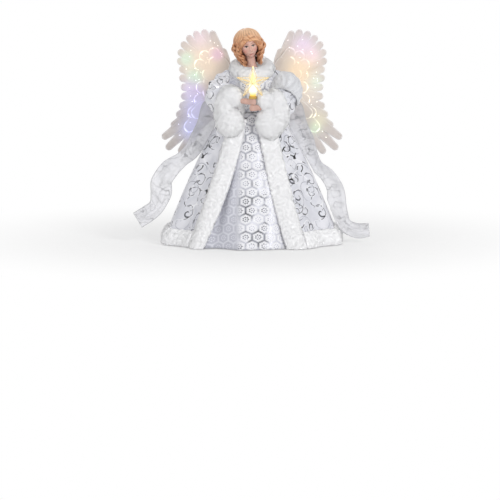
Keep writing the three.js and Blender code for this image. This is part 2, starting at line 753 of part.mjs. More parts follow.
// A flame-shaped lamp: round below, drawn to a point above.
function starBulb(grow) {
  const radiusAt = (share) => BULB_RADIUS * Math.sin(Math.PI * Math.pow(share, 0.62)) + 0.4;
  const steps = 10;
  const profile = [[0, BULB_FOOT_Z - grow], [BULB_RADIUS * 0.7 + grow, BULB_FOOT_Z - grow]];
  for (let i = 1; i < steps; i++) {
    const share = 0.12 + (0.88 * i) / steps;
    profile.push([radiusAt(share) + grow, BULB_FOOT_Z + BULB_LENGTH * share]);
  }
  profile.push([0, BULB_FOOT_Z + BULB_LENGTH + grow]);
  return turned(profile, ROUND_SIDES, STAR_CENTRE[0], STAR_CENTRE[1]);
}

// The lamp's cup with the stem that the hands close on.
function starHolder(grow) {
  const stemFootZ = starCupFootZ - STAR_STEM_LENGTH;
  return turned(
    [
      [0, stemFootZ - grow],
      [STAR_STEM_RADIUS + grow, stemFootZ - grow],
      [STAR_STEM_RADIUS + grow, starCupFootZ - grow],
      [STAR_CUP_RADIUS + grow, starCupFootZ - grow],
      [STAR_CUP_RADIUS + grow, starCupTopZ + grow],
      [0, starCupTopZ + grow],
    ],
    ROUND_SIDES,
    STAR_CENTRE[0],
    STAR_CENTRE[1],
  );
}

// The star's lead leaves the stem's foot and follows the left arm wire into the trunk.
function starLead(grow) {
  const foot = vec(STAR_CENTRE[0], STAR_CENTRE[1], starCupFootZ - STAR_STEM_LENGTH - GAP);
  const arm = armCurve(1, STAR_LEAD_DROP).getSpacedPoints(8).reverse().slice(1);
  const bend = foot.clone().lerp(arm[0], 0.45);
  bend.z -= STAR_LEAD_DROP;
  const curve = smoothCurve([foot, bend, ...arm]);
  return cable(curve, STAR_LEAD_RADIUS + grow, 6, 15);
}

// Collar: a plush roll round the neck, laid on the shoulders.
function collar() {
  const sections = Array.from({ length: COLLAR_COLUMNS }, (_, i) => {
    const angle = (i / COLLAR_COLUMNS) * 2 * Math.PI;
    const out = vec(Math.sin(angle), -Math.cos(angle), 0);
    const z = COLLAR_Z - COLLAR_FRONT_DROP * Math.cos(angle);
    const centre = vec(COLLAR_PATH_HALF[0] * out.x, COLLAR_PATH_HALF[1] * out.y, z);
    return Array.from({ length: COLLAR_SIDES }, (__, j) => {
      const turn = (j / COLLAR_SIDES) * 2 * Math.PI;
      const rise = COLLAR_SECTION_HALF[1] * Math.sin(turn);
      return centre.clone().addScaledVector(out, COLLAR_SECTION_HALF[0] * Math.cos(turn)).setZ(z + rise);
    });
  });
  const points = sections.flat();
  const triangles = [];
  const at = (i, j) => (i % COLLAR_COLUMNS) * COLLAR_SIDES + (j % COLLAR_SIDES);
  for (let i = 0; i < COLLAR_COLUMNS; i++) {
    for (let j = 0; j < COLLAR_SIDES; j++) {
      triangles.push(at(i, j), at(i + 1, j), at(i + 1, j + 1), at(i, j), at(i + 1, j + 1), at(i, j + 1));
    }
  }
  const roll = solidOf(closedGeometry(points, triangles));
  const sleeves = [1, -1].map((side) => sleeveEnvelope(side, GAP));
  const puff = loftGeometry(puffRings(PUFF_CLOTH + GAP));
  return cut(roll, trunkEnvelope(GAP), ...sleeves, puff, ...headShapes(GAP));
}

// Gown and robe

// A point of the skirt. Angle 0 is the front; offset moves it outwards from the gown's outer face.
function skirtPoint(angle, z, offset) {
  const drop = (WAIST_Z - z) / (WAIST_Z - HEM_Z);
  const flare = Math.pow(Math.max(drop, 0), FLARE_POWER);
  const halfWidth = lerp(WAIST_HALF[0], GOWN_HEM_HALF_WIDTH, flare);
  const halfDepth = lerp(WAIST_HALF[1], GOWN_HEM_HALF_WIDTH * HEM_DEPTH_SHARE, flare);
  const out = offset + FOLD_DEPTH * drop * Math.cos(FOLD_COUNT * angle);
  const y = -(halfDepth + out) * Math.cos(angle) - SKIRT_FORWARD * drop;
  return vec((halfWidth + out) * Math.sin(angle), y, z);
}

const dropAt = (z) => (WAIST_Z - z) / (WAIST_Z - HEM_Z);
const robeInner = (z) => lerp(ROBE_WAIST_STANDOFF, ROBE_HEM_STANDOFF, dropAt(z));
const robeOuter = (z) => robeInner(z) + ROBE_CLOTH;

const SKIRT_STEPS = 5;
const hemTrimTopZ = HEM_Z + HEM_TRIM_HEIGHT;
const skirtHeights = [HEM_Z, ...spread(hemTrimTopZ, WAIST_Z, SKIRT_STEPS)];

function gownSkirt() {
  const angles = Array.from({ length: GOWN_COLUMNS }, (_, i) => (i / GOWN_COLUMNS) * 2 * Math.PI);
  const grid = (offset) => skirtHeights.map((z) => angles.map((angle) => skirtPoint(angle, z, offset)));
  return sheetGeometry(grid(0), grid(-GOWN_CLOTH), true);
}

const TRIM_COLUMNS = 4;
const PANEL_COLUMNS = 7;
const BACK_COLUMNS = 26;
const halfWidthAt = (z) => skirtPoint(Math.PI / 2, z, 0).x;
const edgeAngle = (side, z) =>
  lerp(ROBE_EDGE_TOP, side > 0 ? ROBE_EDGE_HEM_LEFT : ROBE_EDGE_HEM_RIGHT, Math.max(dropAt(z), 0));
const trimAngle = (z) => TRIM_WIDTH / halfWidthAt(z);

// Angles of a front panel at one height: first those under the trim, then on to the side seam.
function frontAngles(side, z) {
  const edge = edgeAngle(side, z);
  const inner = Math.min(edge + trimAngle(z), SIDE_SEAM - 0.1);
  const under = spread(edge, inner, TRIM_COLUMNS);
  const rest = spread(inner, SIDE_SEAM, PANEL_COLUMNS).slice(1);
  return [...under, ...rest];
}

function backAngles(z) {
  const seam = SIDE_SEAM + GAP / halfWidthAt(z);
  return spread(seam, 2 * Math.PI - seam, BACK_COLUMNS);
}

function robePanel(anglesAt) {
  const grid = (offsetAt) =>
    skirtHeights.map((z) => anglesAt(z).map((angle) => skirtPoint(angle, z, offsetAt(z))));
  return sheetGeometry(grid(robeOuter), grid(robeInner), false);
}

// Everything inside the robe's outer face, to cut the sleeves and cuffs that press on it.
function robeEnvelope(grow) {
  const angles = Array.from({ length: GOWN_COLUMNS }, (_, i) => (i / GOWN_COLUMNS) * 2 * Math.PI);
  const heights = skirtHeights.slice(-4);
  return loftGeometry(
    heights.map((z, i) => {
      const level = i === heights.length - 1 ? z + grow : z;
      return angles.map((angle) => skirtPoint(angle, z, robeOuter(z) + grow).setZ(level));
    }),
  );
}

const robeFront = (side) => robePanel((z) => frontAngles(side, z).map((angle) => side * angle));
const robeBack = () => robePanel(backAngles);

// A plush band down a front edge of the robe, thickest along its middle.
function frontTrim(side) {
  const heights = skirtHeights.filter((z) => z < TRIM_TOP_Z);
  heights.push(TRIM_TOP_Z);
  const swell = (i) => TRIM_THICKNESS * (0.35 + 0.65 * Math.sin((Math.PI * i) / TRIM_COLUMNS));
  const grid = (offset) =>
    heights.map((z) => {
      const angles = frontAngles(side, z).slice(0, TRIM_COLUMNS + 1);
      return angles.map((angle, i) => skirtPoint(side * angle, z, robeOuter(z) + GAP + offset(i)));
    });
  const plush = solidOf(sheetGeometry(grid(swell), grid(() => 0), false));
  return cut(plush, sleeveEnvelope(side, GAP), cuffEnvelope(side, GAP), ...handShapes(side, GAP));
}

// A plush band round the robe's hem, between the two front bands.
function hemTrim() {
  const steps = 3;
  const heights = spread(HEM_Z, hemTrimTopZ, steps);
  const swell = (i) => HEM_TRIM_THICKNESS * (0.35 + 0.65 * Math.sin((Math.PI * i) / steps));
  const angles = (z) => {
    const [left, right] = [1, -1].map((side) => frontAngles(side, z).slice(TRIM_COLUMNS));
    left[0] += GAP / halfWidthAt(z);
    right[0] += GAP / halfWidthAt(z);
    return [...left, ...backAngles(z), ...right.reverse().map((angle) => 2 * Math.PI - angle)];
  };
  const grid = (offset) =>
    heights.map((z, i) => {
      const out = robeOuter(z) + 2 * GAP + offset(i);
      return angles(z).map((angle) => skirtPoint(angle, z, out));
    });
  return sheetGeometry(grid(swell), grid(() => 0), false);
}

// Scarf: one strip of sheer cloth laid across the back, hanging from both elbows to loose ends.
// Stations from the hip to the end: place, the way its width lies, and half its width.
const SCARF_LEFT = [
  [[67, 14, 226], [0.5, -0.75, 0.3], 15],
  [[77, 14, 196], [0.6, -0.75, 0.2], 15],
  [[88, 13, 166], [0.6, -0.7, 0.4], 14],
  [[97, 11, 141], [0.45, -0.45, 0.75], 12],
  [[109, 8, 123], [0.5, -0.2, 0.85], 11],
  [[124, 4, 110], [0.75, 0, 0.65], 12],
  [[137, 0, 88], [0.97, 0, 0.25], 14],
  [[140, -3, 62], [0.97, 0.2, 0], 16],
  [[144, -5, 44], [0.8, 0.35, 0.4], 14.5],
  [[155, -7, 27], [0.35, 0.3, 0.85], 12.5],
  [[172, -8, 19.5], [-0.05, 0.1, 1], 12.5],
  [[193.5, -9, 21], [-0.2, 0, 1], 11.5],
];
const SCARF_RIGHT = [
  [[-67, 14, 226], [-0.5, -0.75, 0.3], 15],
  [[-77, 14, 196], [-0.6, -0.75, 0.2], 15],
  [[-88, 13, 170], [-0.6, -0.7, 0.4], 14],
  [[-99, 10, 150], [-0.35, -0.4, 0.85], 13],
  [[-116, 6, 136], [-0.35, -0.1, 0.92], 13],
  [[-136, 2, 120], [-0.75, 0, 0.65], 16],
  [[-149, -1, 100], [-1, 0, 0.15], 17.5],
  [[-150, -4, 80], [-0.97, 0.2, 0.1], 17.5],
  [[-156, -6, 61], [-0.8, 0.3, 0.5], 14],
  [[-171, -8, 48], [-0.6, 0.1, 0.8], 14],
  [[-189, -9, 37], [-0.55, 0, 0.85], 14],
];
const SCARF_BACK_ANGLES = [240, 210, 180, 150, 120].map(THREE.MathUtils.degToRad);
const SCARF_BACK_HALF = 14;
const SCARF_STEPS = 44;
const SCARF_COLUMNS = 5;

function scarf() {
  const lowZ = SCARF_BACK_Z - SCARF_BACK_HALF;
  const clear = robeOuter(lowZ) + FOLD_DEPTH * dropAt(lowZ) + SCARF_CLOTH / 2 + GAP;
  const back = SCARF_BACK_ANGLES.map((angle) => {
    const place = skirtPoint(angle, lowZ, clear - FOLD_DEPTH * dropAt(lowZ) * Math.cos(FOLD_COUNT * angle));
    return [[place.x, place.y, SCARF_BACK_Z], [0, 0, 1], SCARF_BACK_HALF];
  });
  const stations = [...SCARF_RIGHT.slice().reverse(), ...back, ...SCARF_LEFT];
  const path = smoothCurve(stations.map(([place]) => vec(...place)));
  const widths = smoothCurve(stations.map(([, across, half]) => vec(...across).setLength(half)));
  const sides = [[], []];
  for (let i = 0; i <= SCARF_STEPS; i++) {
    const share = i / SCARF_STEPS;
    const centre = path.getPoint(share);
    const tangent = path.getTangent(share);
    const half = widths.getPoint(share);
    half.addScaledVector(tangent, -half.dot(tangent));
    const normal = half.clone().cross(tangent).normalize();
    const loose = Math.abs(2 * share - 1);
    sides.forEach((rows, s) => {
      const row = Array.from({ length: SCARF_COLUMNS }, (_, j) => {
        const across = (2 * j) / (SCARF_COLUMNS - 1) - 1;
        const wave = SCARF_WAVE * loose * Math.cos(Math.PI * 2 * across);
        const lift = wave + (s ? -SCARF_CLOTH : SCARF_CLOTH) / 2;
        return centre.clone().addScaledVector(half, across).addScaledVector(normal, lift);
      });
      rows.push(row);
    });
  }
  return sheetGeometry(sides[0], sides[1], false);
}

// Wing bracket

const trayFrontY = Math.max(WAIST_HALF[1], CHEST_HALF[1], SHOULDER_HALF[1]) + GAP;
const trayBackY = trayFrontY + TRAY_DEPTH;
const trayLowZ = HINGE_Z - TRAY_HEIGHT / 2;
const trayHighZ = HINGE_Z + TRAY_HEIGHT / 2;
const bossInset = TRAY_WALL + BOSS_RADIUS * 0.6;
const screwHeights = [trayLowZ + bossInset, trayHighZ - bossInset];

// A rod along Y.
const crossRod = (radius, x, z, low, high) =>
  rodBetween(vec(x, low, z), vec(x, high, z), radius, SMALL_SIDES);

const trayPegs = (grow) =>
  [-1, 1].map((sign) => {
    const z = HINGE_Z + (sign * PEG_SPACING) / 2;
    return crossRod(PEG_RADIUS + grow, 0, z, trayFrontY - PEG_DEPTH - grow, trayFrontY + TRAY_WALL / 2);
  });

const earLow = HINGE_Z - BARREL_LENGTH / 2 - GAP - EAR_THICKNESS;
const earHigh = HINGE_Z + BARREL_LENGTH / 2 + GAP;

// A flat ear from the tray's side to the hinge, round about the pin.
function hingeEar(side, low) {
  const inner = TRAY_HALF_WIDTH - TRAY_WALL / 2;
  const frontY = trayBackY - TRAY_WALL - EAR_THICKNESS;
  const shape = new THREE.Shape();
  shape.moveTo(inner, frontY);
  shape.lineTo(HINGE_X, frontY);
  shape.lineTo(HINGE_X + BARREL_RADIUS, HINGE_Y);
  shape.absarc(HINGE_X, HINGE_Y, BARREL_RADIUS, 0, Math.PI);
  shape.lineTo(inner, trayBackY - TRAY_WALL / 2);
  shape.closePath();
  const options = { depth: EAR_THICKNESS, bevelEnabled: false, curveSegments: 5 };
  const ear = new THREE.ExtrudeGeometry(shape, options).translate(0, 0, low);
  return side > 0 ? ear : ear.rotateY(Math.PI).translate(0, 0, 2 * low + EAR_THICKNESS);
}

function wingBracket() {
  const outer = block([-TRAY_HALF_WIDTH, trayFrontY, trayLowZ], [TRAY_HALF_WIDTH, trayBackY, trayHighZ]);
  const hollow = block(
    [-TRAY_HALF_WIDTH + TRAY_WALL, trayFrontY + TRAY_WALL, trayLowZ + TRAY_WALL],
    [TRAY_HALF_WIDTH - TRAY_WALL, trayBackY + 1, trayHighZ - TRAY_WALL],
  );
  const bossFootY = trayFrontY + TRAY_WALL / 2;
  const bosses = screwHeights.map((z) => crossRod(BOSS_RADIUS, 0, z, bossFootY, trayBackY));
  const ears = [1, -1].flatMap((side) => [earLow, earHigh].map((low) => hingeEar(side, low)));
  const tray = cut(solidOf(outer), hollow).add(joined(...bosses, ...trayPegs(0), ...ears));
  const pinHoles = [1, -1].map((side) => hingePin(side, GAP));
  return cut(tray, ...pinHoles, ...[0, 1].map((i) => coverScrew(i, GAP)), powerLead(GAP));
}

function hingePin(side, grow) {
  const low = earLow - grow;
  const high = earHigh + EAR_THICKNESS + grow;
  return rod(PIN_RADIUS + grow, low, high, SMALL_SIDES, side * HINGE_X, HINGE_Y);
}

const coverFrontY = trayBackY + GAP;

function bracketCover() {
  const plate = block(
    [-TRAY_HALF_WIDTH, coverFrontY, trayLowZ],
    [TRAY_HALF_WIDTH, coverFrontY + COVER_THICKNESS, trayHighZ],
  );
  return cut(solidOf(plate), ...[0, 1].map((i) => coverScrew(i, GAP)));
}

function coverScrew(i, grow) {
  const z = screwHeights[i];
  const headY = coverFrontY + COVER_THICKNESS + GAP;
  const tipY = trayBackY - TRAY_DEPTH / 2;
  const shank = crossRod(SCREW_RADIUS + grow, 0, z, tipY - grow, headY + SCREW_HEAD / 2);
  const capped = crossRod(SCREW_HEAD_RADIUS + grow, 0, z, headY, headY + SCREW_HEAD);
  return geometryOf(joined(shank, capped));
}

function driverBoard() {
  const half = TRAY_HALF_WIDTH - TRAY_WALL - BOARD_MARGIN;
  const top = screwHeights[1] - BOSS_RADIUS - BOARD_MARGIN;
  const bottom = screwHeights[0] + BOSS_RADIUS + BOARD_MARGIN;
  const y = trayFrontY + TRAY_WALL + GAP;
  return cut(solidOf(block([-half, y, bottom], [half, y + BOARD_THICKNESS, top])), powerLead(GAP));
}

// Wings. In the wing's own frame x runs outwards from the hinge, y back, and z is height.

// Root and tip of every feather, from the short inner one round the fan to the tail.
function feathers() {
  const list = [];
  const root = vec(FEATHER_ROOT[0], 0, FEATHER_ROOT[1]);
  list.push([root, vec(INNER_TIP[0], 0, INNER_TIP[1])]);
  for (let i = 0; i < FAN_FEATHERS; i++) {
    const angle = lerp(FAN_FIRST, FAN_LAST, i / (FAN_FEATHERS - 1));
    const [x, z] = [FAN_RADIUS * Math.cos(angle), FAN_RADIUS * Math.sin(angle)];
    list.push([root, vec(FAN_CENTRE[0] + x, 0, FAN_CENTRE[1] + z)]);
  }
  const tailRoot = vec(TAIL_ROOT[0], 0, TAIL_ROOT[1]);
  EDGE_TIPS.forEach(([x, z], i) => {
    list.push([root.clone().lerp(tailRoot, (i + 1) / EDGE_TIPS.length), vec(x, 0, z)]);
  });
  TAIL_TIPS.forEach(([x, z]) => list.push([tailRoot, vec(x, 0, z)]));
  return list;
}

// One flat feather: narrow at its root, widest past its middle, blunt at its tip.
function featherGeometry(root, tip, share, low, high) {
  const end = root.clone().lerp(tip, share);
  const [rootHalf, wideHalf, tipHalf] = FEATHER_HALF;
  const length = root.distanceTo(end);
  const edge = [[0, rootHalf], [length * FEATHER_WIDEST, wideHalf], [length - FEATHER_TIP, tipHalf]];
  const outline = edge.map(([x, half]) => new THREE.Vector2(x, -half));
  outline.push(new THREE.Vector2(length, 0));
  edge.reverse().forEach(([x, half]) => outline.push(new THREE.Vector2(x, half)));
  const options = { depth: high - low, bevelEnabled: false };
  const geometry = new THREE.ExtrudeGeometry(new THREE.Shape(outline), options);
  const angle = Math.atan2(end.z - root.z, end.x - root.x);
  geometry.rotateZ(angle).rotateX(Math.PI / 2);
  return geometry.translate(root.x, high, root.z);
}

const wingMiddleY = -ROOT_THICKNESS / 2;
const bladeBackY = wingMiddleY - GAP;
const bladeFrontY = bladeBackY - WING_FILM;
const covertBackY = bladeFrontY - GAP;

// Feathers joined by a strip of film along their roots.
function featherSheet(list, share, low, high) {
  const spine = featherGeometry(vec(FEATHER_ROOT[0], 0, FEATHER_ROOT[1]), spineFoot, 1, low, high);
  const flat = list.map(([root, tip]) => featherGeometry(root, tip, share, low, high));
  return joined(spine, ...flat);
}

const spineFoot = vec(TAIL_ROOT[0], 0, TAIL_ROOT[1] - FEATHER_HALF[0]);

const wingBlade = () => featherSheet(feathers(), 1, bladeFrontY, bladeBackY);

// The shorter front row has a feather over every other one of the back row.
function wingCoverts() {
  const list = feathers().filter((_, i) => i % 2 === 0);
  return featherSheet(list, COVERT_SHARE, covertBackY - WING_FILM, covertBackY);
}

const rootLow = HINGE_Z - ROOT_HEIGHT / 2;
const rootHigh = HINGE_Z + ROOT_HEIGHT / 2;
const ledZ = HINGE_Z + ROOT_HEIGHT / 4;

// The hinged arm that carries the film, with a pocket for the lamp at its outer end.
function wingRoot() {
  const barrel = rod(BARREL_RADIUS, HINGE_Z - BARREL_LENGTH / 2, HINGE_Z + BARREL_LENGTH / 2, ROUND_SIDES);
  const arm = block([0, -ROOT_THICKNESS / 2, rootLow], [ROOT_LENGTH, ROOT_THICKNESS / 2, rootHigh]);
  const pinHole = rod(PIN_RADIUS + GAP, rootLow - BARREL_LENGTH, rootHigh + BARREL_LENGTH, SMALL_SIDES);
  return cut(joined(barrel, arm), pinHole, wingLed(GAP));
}

function wingLed(grow) {
  const start = ROOT_LENGTH - LED_LENGTH;
  const end = ROOT_LENGTH + grow;
  return rodBetween(vec(start - grow, 0, ledZ), vec(end, 0, ledZ), LED_RADIUS + grow, SMALL_SIDES);
}

// The ferrule on the lamp, with a thin light guide along the middle of each feather.
function fibreFan() {
  const ferruleStart = ROOT_LENGTH + 2 * GAP;
  const ferruleEnd = ferruleStart + FERRULE_LENGTH;
  const ferrule = block(
    [ferruleStart, wingMiddleY, ledZ - LED_RADIUS],
    [ferruleEnd, LED_RADIUS, ledZ + LED_RADIUS],
  );
  const hub = vec(ferruleEnd - FERRULE_LENGTH / 2, 0, ledZ);
  const guides = feathers().map(([root, tip]) => {
    const end = root.clone().lerp(tip, FIBRE_SHARE);
    const length = hub.distanceTo(end);
    const angle = Math.atan2(end.z - hub.z, end.x - hub.x);
    const bar = block([0, 0, -FIBRE_THICKNESS / 2], [length, FIBRE_THICKNESS, FIBRE_THICKNESS / 2]);
    return bar.rotateY(-angle).translate(hub.x, wingMiddleY, hub.z);
  });
  const armRoom = block(
    [0, wingMiddleY - WING_FILM, rootLow - GAP],
    [ferruleStart - GAP, ROOT_THICKNESS, rootHigh + GAP],
  );
  return cut(joined(ferrule, ...guides), armRoom);
}

function addWing(side) {
  const name = side > 0 ? "left" : "right";
  const wing = new THREE.Group();
  wing.position.set(side * HINGE_X, HINGE_Y, 0);
  wing.rotation.z = side * WING_SWEEP;
  topper.add(wing);
  // The right wing is the left one mirrored, with its faces turned back out.
  const handed = (geometry) => (side > 0 ? geometry : flipped(geometry.clone().scale(-1, 1, 1)));
  place(wing, name + "_wing_root", handed(geometryOf(wingRoot())), WHITE_PLASTIC);
  place(wing, name + "_wing_led", handed(geometryOf(solidOf(wingLed(0)))), BULB);
  place(wing, name + "_fibre_fan", handed(geometryOf(fibreFan())), FIBRE);
  place(wing, name + "_wing_blade", handed(geometryOf(wingBlade())), FILM);
  place(wing, name + "_wing_coverts", handed(geometryOf(wingCoverts())), FILM);
}

// Battery box, in a frame that leans with the cone's back wall: x across, y out through it, z up it.

const boxInnerWidth = CELL_COUNT * CELL_PITCH + 2 * GAP;
const boxHalfWidth = boxInnerWidth / 2 + BOX_WALL;
const boxDepth = 2 * CELL_RADIUS + 2 * GAP + BOX_WALL;
const boxBackY = -(SEAT_GAP + RIB_DEPTH);
const boxFrontY = boxBackY - boxDepth;
const cellBayLow = 2 * BOX_WALL + SWITCH_BAY;
const plateRoom = PLATE_THICKNESS + 2 * GAP;
const cellLow = cellBayLow + plateRoom;
const cellBayHigh = cellLow + CELL_LENGTH + plateRoom;
const boxHeight = cellBayHigh + BOX_WALL;
const cellY = boxBackY - BOX_WALL - GAP - CELL_RADIUS;
const boxScrewHeights = [RIB_SCREW_INSET, boxHeight - RIB_SCREW_INSET];
const doorPinZ = BOX_WALL + DOOR_PIN_RADIUS;
const doorPinY = boxFrontY - GAP - DOOR_THICKNESS / 2;

const boxFrame = new THREE.Group();
const boxOriginZ = coneBottomZ + BOX_BASE_HEIGHT * Math.cos(coneSlope);
boxFrame.position.set(0, coneRadiusAt(boxOriginZ) - CONE_WALL / Math.cos(coneSlope), boxOriginZ);
boxFrame.rotation.x = coneSlope;
boxFrame.updateMatrix();
topper.add(boxFrame);

const inBoxFrame = (geometry) => geometry.applyMatrix4(boxFrame.matrix);

function boxScrew(z, grow) {
  const headY = CONE_WALL + GAP;
  const tipY = -(SEAT_GAP + RIB_SCREW_BITE);
  const shank = crossRod(SCREW_RADIUS + grow, 0, z, tipY - grow, headY + SCREW_HEAD / 2);
  const capped = crossRod(SCREW_HEAD_RADIUS + grow, 0, z, headY, headY + SCREW_HEAD);
  return geometryOf(joined(shank, capped));
}

const boxScrewHole = (z) =>
  inBoxFrame(crossRod(SCREW_RADIUS + GAP, 0, z, -SEAT_GAP - CONE_WALL, 2 * CONE_WALL));

function batteryBox() {
  const outer = block([-boxHalfWidth, boxFrontY, 0], [boxHalfWidth, boxBackY, boxHeight]);
  const rib = block([-RIB_HALF_WIDTH, boxBackY - BOX_WALL / 2, 0], [RIB_HALF_WIDTH, -SEAT_GAP, boxHeight]);
  const inner = boxInnerWidth / 2;
  const front = boxFrontY - 1;
  const bayBack = boxBackY - BOX_WALL;
  const cellBay = block([-inner, front, cellBayLow], [inner, bayBack, cellBayHigh]);
  const switchBay = block([-inner, front, BOX_WALL], [inner, bayBack, BOX_WALL + SWITCH_BAY]);
  const slotHalf = SWITCH_STEM.map((size) => size / 2 + GAP);
  const slot = block(
    [-slotHalf[0], switchY - slotHalf[1], -1],
    [slotHalf[0] + SWITCH_TRAVEL, switchY + slotHalf[1], BOX_WALL + 1],
  );
  const earX = boxHalfWidth - BOX_WALL - DOOR_END_GAP;
  const ears = [-1, 1].map((side) => {
    const [near, far] = [side * (earX + DOOR_END_GAP), side * (boxHalfWidth + EAR_WALL)];
    return block(
      [Math.min(near, far), doorPinY - EAR_REACH / 2, doorPinZ - EAR_REACH / 2],
      [Math.max(near, far), boxFrontY + EAR_REACH, doorPinZ + EAR_REACH / 2],
    );
  });
  const pinHole = doorPinRod(boxHalfWidth + EAR_WALL + 1, GAP);
  const shell = cut(joined(outer, rib, ...ears), cellBay, switchBay, slot, pinHole, batteryPassage());
  return cut(shell, doorSweep(), ...boxScrewHeights.map((z) => boxScrew(z, GAP)));
}

const switchY = boxFrontY + boxDepth / 2;
const doorHalfWidth = boxHalfWidth - BOX_WALL - DOOR_END_GAP;

// A rod on the door's hinge line.
const doorRod = (half, radius, sides) =>
  rodBetween(vec(-half, doorPinY, doorPinZ), vec(half, doorPinY, doorPinZ), radius, sides);
const doorPinRod = (half, grow) => doorRod(half, DOOR_PIN_RADIUS + grow, SMALL_SIDES);

// Room for the door's rounded heel to turn between the ears.
function doorSweep() {
  return doorRod(doorHalfWidth + DOOR_END_GAP, doorPinZ + GAP, ROUND_SIDES);
}

function batteryDoor() {
  const plate = block(
    [-doorHalfWidth, doorPinY - DOOR_THICKNESS / 2, doorPinZ],
    [doorHalfWidth, doorPinY + DOOR_THICKNESS / 2, boxHeight],
  );
  const heel = doorRod(doorHalfWidth, DOOR_HEEL_RADIUS, SMALL_SIDES);
  return joined(plate, heel, doorPinRod(boxHalfWidth + EAR_WALL / 2, 0));
}

// Way for the leads between the switch bay and the cell bay, and out at the top.
function batteryPassage() {
  const hole = LEAD_RADIUS + GAP;
  const y = boxBackY - BOX_WALL - hole;
  return block([-hole, y - hole, BOX_WALL + 1], [hole, y + hole, boxHeight + 1]);
}

function cell(i) {
  const x = (i - (CELL_COUNT - 1) / 2) * CELL_PITCH;
  return rod(CELL_RADIUS, cellLow, cellLow + CELL_LENGTH, ROUND_SIDES, x, cellY);
}

function contactPlate(low) {
  const half = boxInnerWidth / 2 - GAP;
  const plate = block(
    [-half, cellY - CELL_RADIUS / 2, low],
    [half, cellY + CELL_RADIUS / 2, low + PLATE_THICKNESS],
  );
  return cut(solidOf(plate), batteryPassage());
}

function powerSwitch() {
  const [stem, flange] = [SWITCH_STEM, SWITCH_FLANGE];
  const flangeLow = BOX_WALL + GAP;
  const knob = block(
    [-stem[0] / 2, switchY - stem[1] / 2, BOX_WALL - stem[2]],
    [stem[0] / 2, switchY + stem[1] / 2, flangeLow + flange[2] / 2],
  );
  const plate = block(
    [-flange[0] / 2, switchY - flange[1] / 2, flangeLow],
    [flange[0] / 2, switchY + flange[1] / 2, flangeLow + flange[2]],
  );
  return joined(knob, plate);
}

// The supply lead runs from the box up the cone's back, through the plate and trunk, into the tray.
function powerLead(grow) {
  const boxTop = vec(0, boxBackY - BOX_WALL - LEAD_RADIUS - GAP, boxHeight + GAP);
  boxTop.applyMatrix4(boxFrame.matrix);
  const rise = (SOCKET_BORE_RADIUS + SOCKET_WALL + coneRadiusAt(plateUnderZ) - CONE_WALL) / 2;
  const boardY = trayFrontY + TRAY_WALL + GAP;
  const aside = LEAD_RADIUS;
  const turnZ = HINGE_Z - BOSS_RADIUS;
  const up = vec(0, -Math.sin(coneSlope), Math.cos(coneSlope));
  const points = [
    boxTop,
    boxTop.clone().addScaledVector(up, LEAD_STRAIGHT),
    vec(0, rise + aside, plateUnderZ - LEAD_BEND),
    vec(0, rise, plateUnderZ - LEAD_STRAIGHT),
    vec(0, rise, CONE_TOP_Z + LEAD_STRAIGHT),
    vec(0, rise - LEAD_SWAY, WAIST_Z),
    vec(0, rise - LEAD_SWAY, turnZ - LEAD_STRAIGHT),
    vec(0, rise + LEAD_SWAY, turnZ),
    vec(0, boardY - GAP, turnZ),
  ];
  return cable(smoothCurve(points), LEAD_RADIUS + grow, 6, 20);
}

// Assembly

place(topper, "base_rim", baseRim(), WHITE_PLASTIC);
place(topper, "base_cone", geometryOf(baseCone()), WHITE_PLASTIC);
place(topper, "leader_socket", leaderSocket(), WHITE_PLASTIC);
place(topper, "waist_screw", waistScrew(), STEEL);
place(topper, "torso", geometryOf(torso()), WHITE_PLASTIC);
place(topper, "neck_pin", neckPin(0), STEEL);
place(topper, "head", geometryOf(head()), SKIN_RESIN);
for (const [name, side] of [["left", 1], ["right", -1]]) {
  place(topper, name + "_arm_wire", geometryOf(solidOf(armWire(side, 0))), STEEL);
  place(topper, name + "_hand", geometryOf(hand(side)), SKIN_RESIN);
  place(topper, name + "_sleeve", geometryOf(sleeve(side)), SATIN);
  place(topper, name + "_cuff", geometryOf(cuff(side)), PLUSH);
  place(topper, "robe_" + name + "_front", robeFront(side), SATIN);
  place(topper, name + "_front_trim", geometryOf(frontTrim(side)), PLUSH);
  place(topper, name + "_hinge_pin", hingePin(side, 0), STEEL);
  addWing(side);
}
place(topper, "star", geometryOf(star()), ACRYLIC);
place(topper, "star_bulb", starBulb(0), BULB);
place(topper, "star_holder", starHolder(0), BRASS);
place(topper, "star_lead", geometryOf(cut(solidOf(starLead(0)), starHolder(GAP))), LEAD_JACKET);
place(topper, "bodice", geometryOf(bodice()), SATIN);
place(topper, "collar", geometryOf(collar()), PLUSH);
place(topper, "gown_skirt", gownSkirt(), BROCADE);
place(topper, "robe_back", robeBack(), SATIN);
place(topper, "hem_trim", hemTrim(), PLUSH);
place(topper, "sleeve_puff", geometryOf(sleevePuff()), ORGANZA);
place(topper, "scarf", scarf(), ORGANZA);
place(topper, "wing_bracket", geometryOf(wingBracket()), WHITE_PLASTIC);
place(topper, "bracket_cover", geometryOf(bracketCover()), WHITE_PLASTIC);
place(topper, "bracket_screw_low", coverScrew(0, 0), STEEL);
place(topper, "bracket_screw_high", coverScrew(1, 0), STEEL);
place(topper, "driver_board", geometryOf(driverBoard()), BOARD);
place(topper, "power_lead", geometryOf(solidOf(powerLead(0))), LEAD_JACKET);
place(boxFrame, "battery_box", geometryOf(batteryBox()), BLACK_PLASTIC);
place(boxFrame, "battery_door", geometryOf(batteryDoor()), BLACK_PLASTIC);
place(boxFrame, "power_switch", geometryOf(powerSwitch()), WHITE_PLASTIC);
place(boxFrame, "contact_plate_low", geometryOf(contactPlate(cellBayLow + GAP)), STEEL);
place(boxFrame, "contact_plate_high", geometryOf(contactPlate(cellBayHigh - GAP - PLATE_THICKNESS)), STEEL);
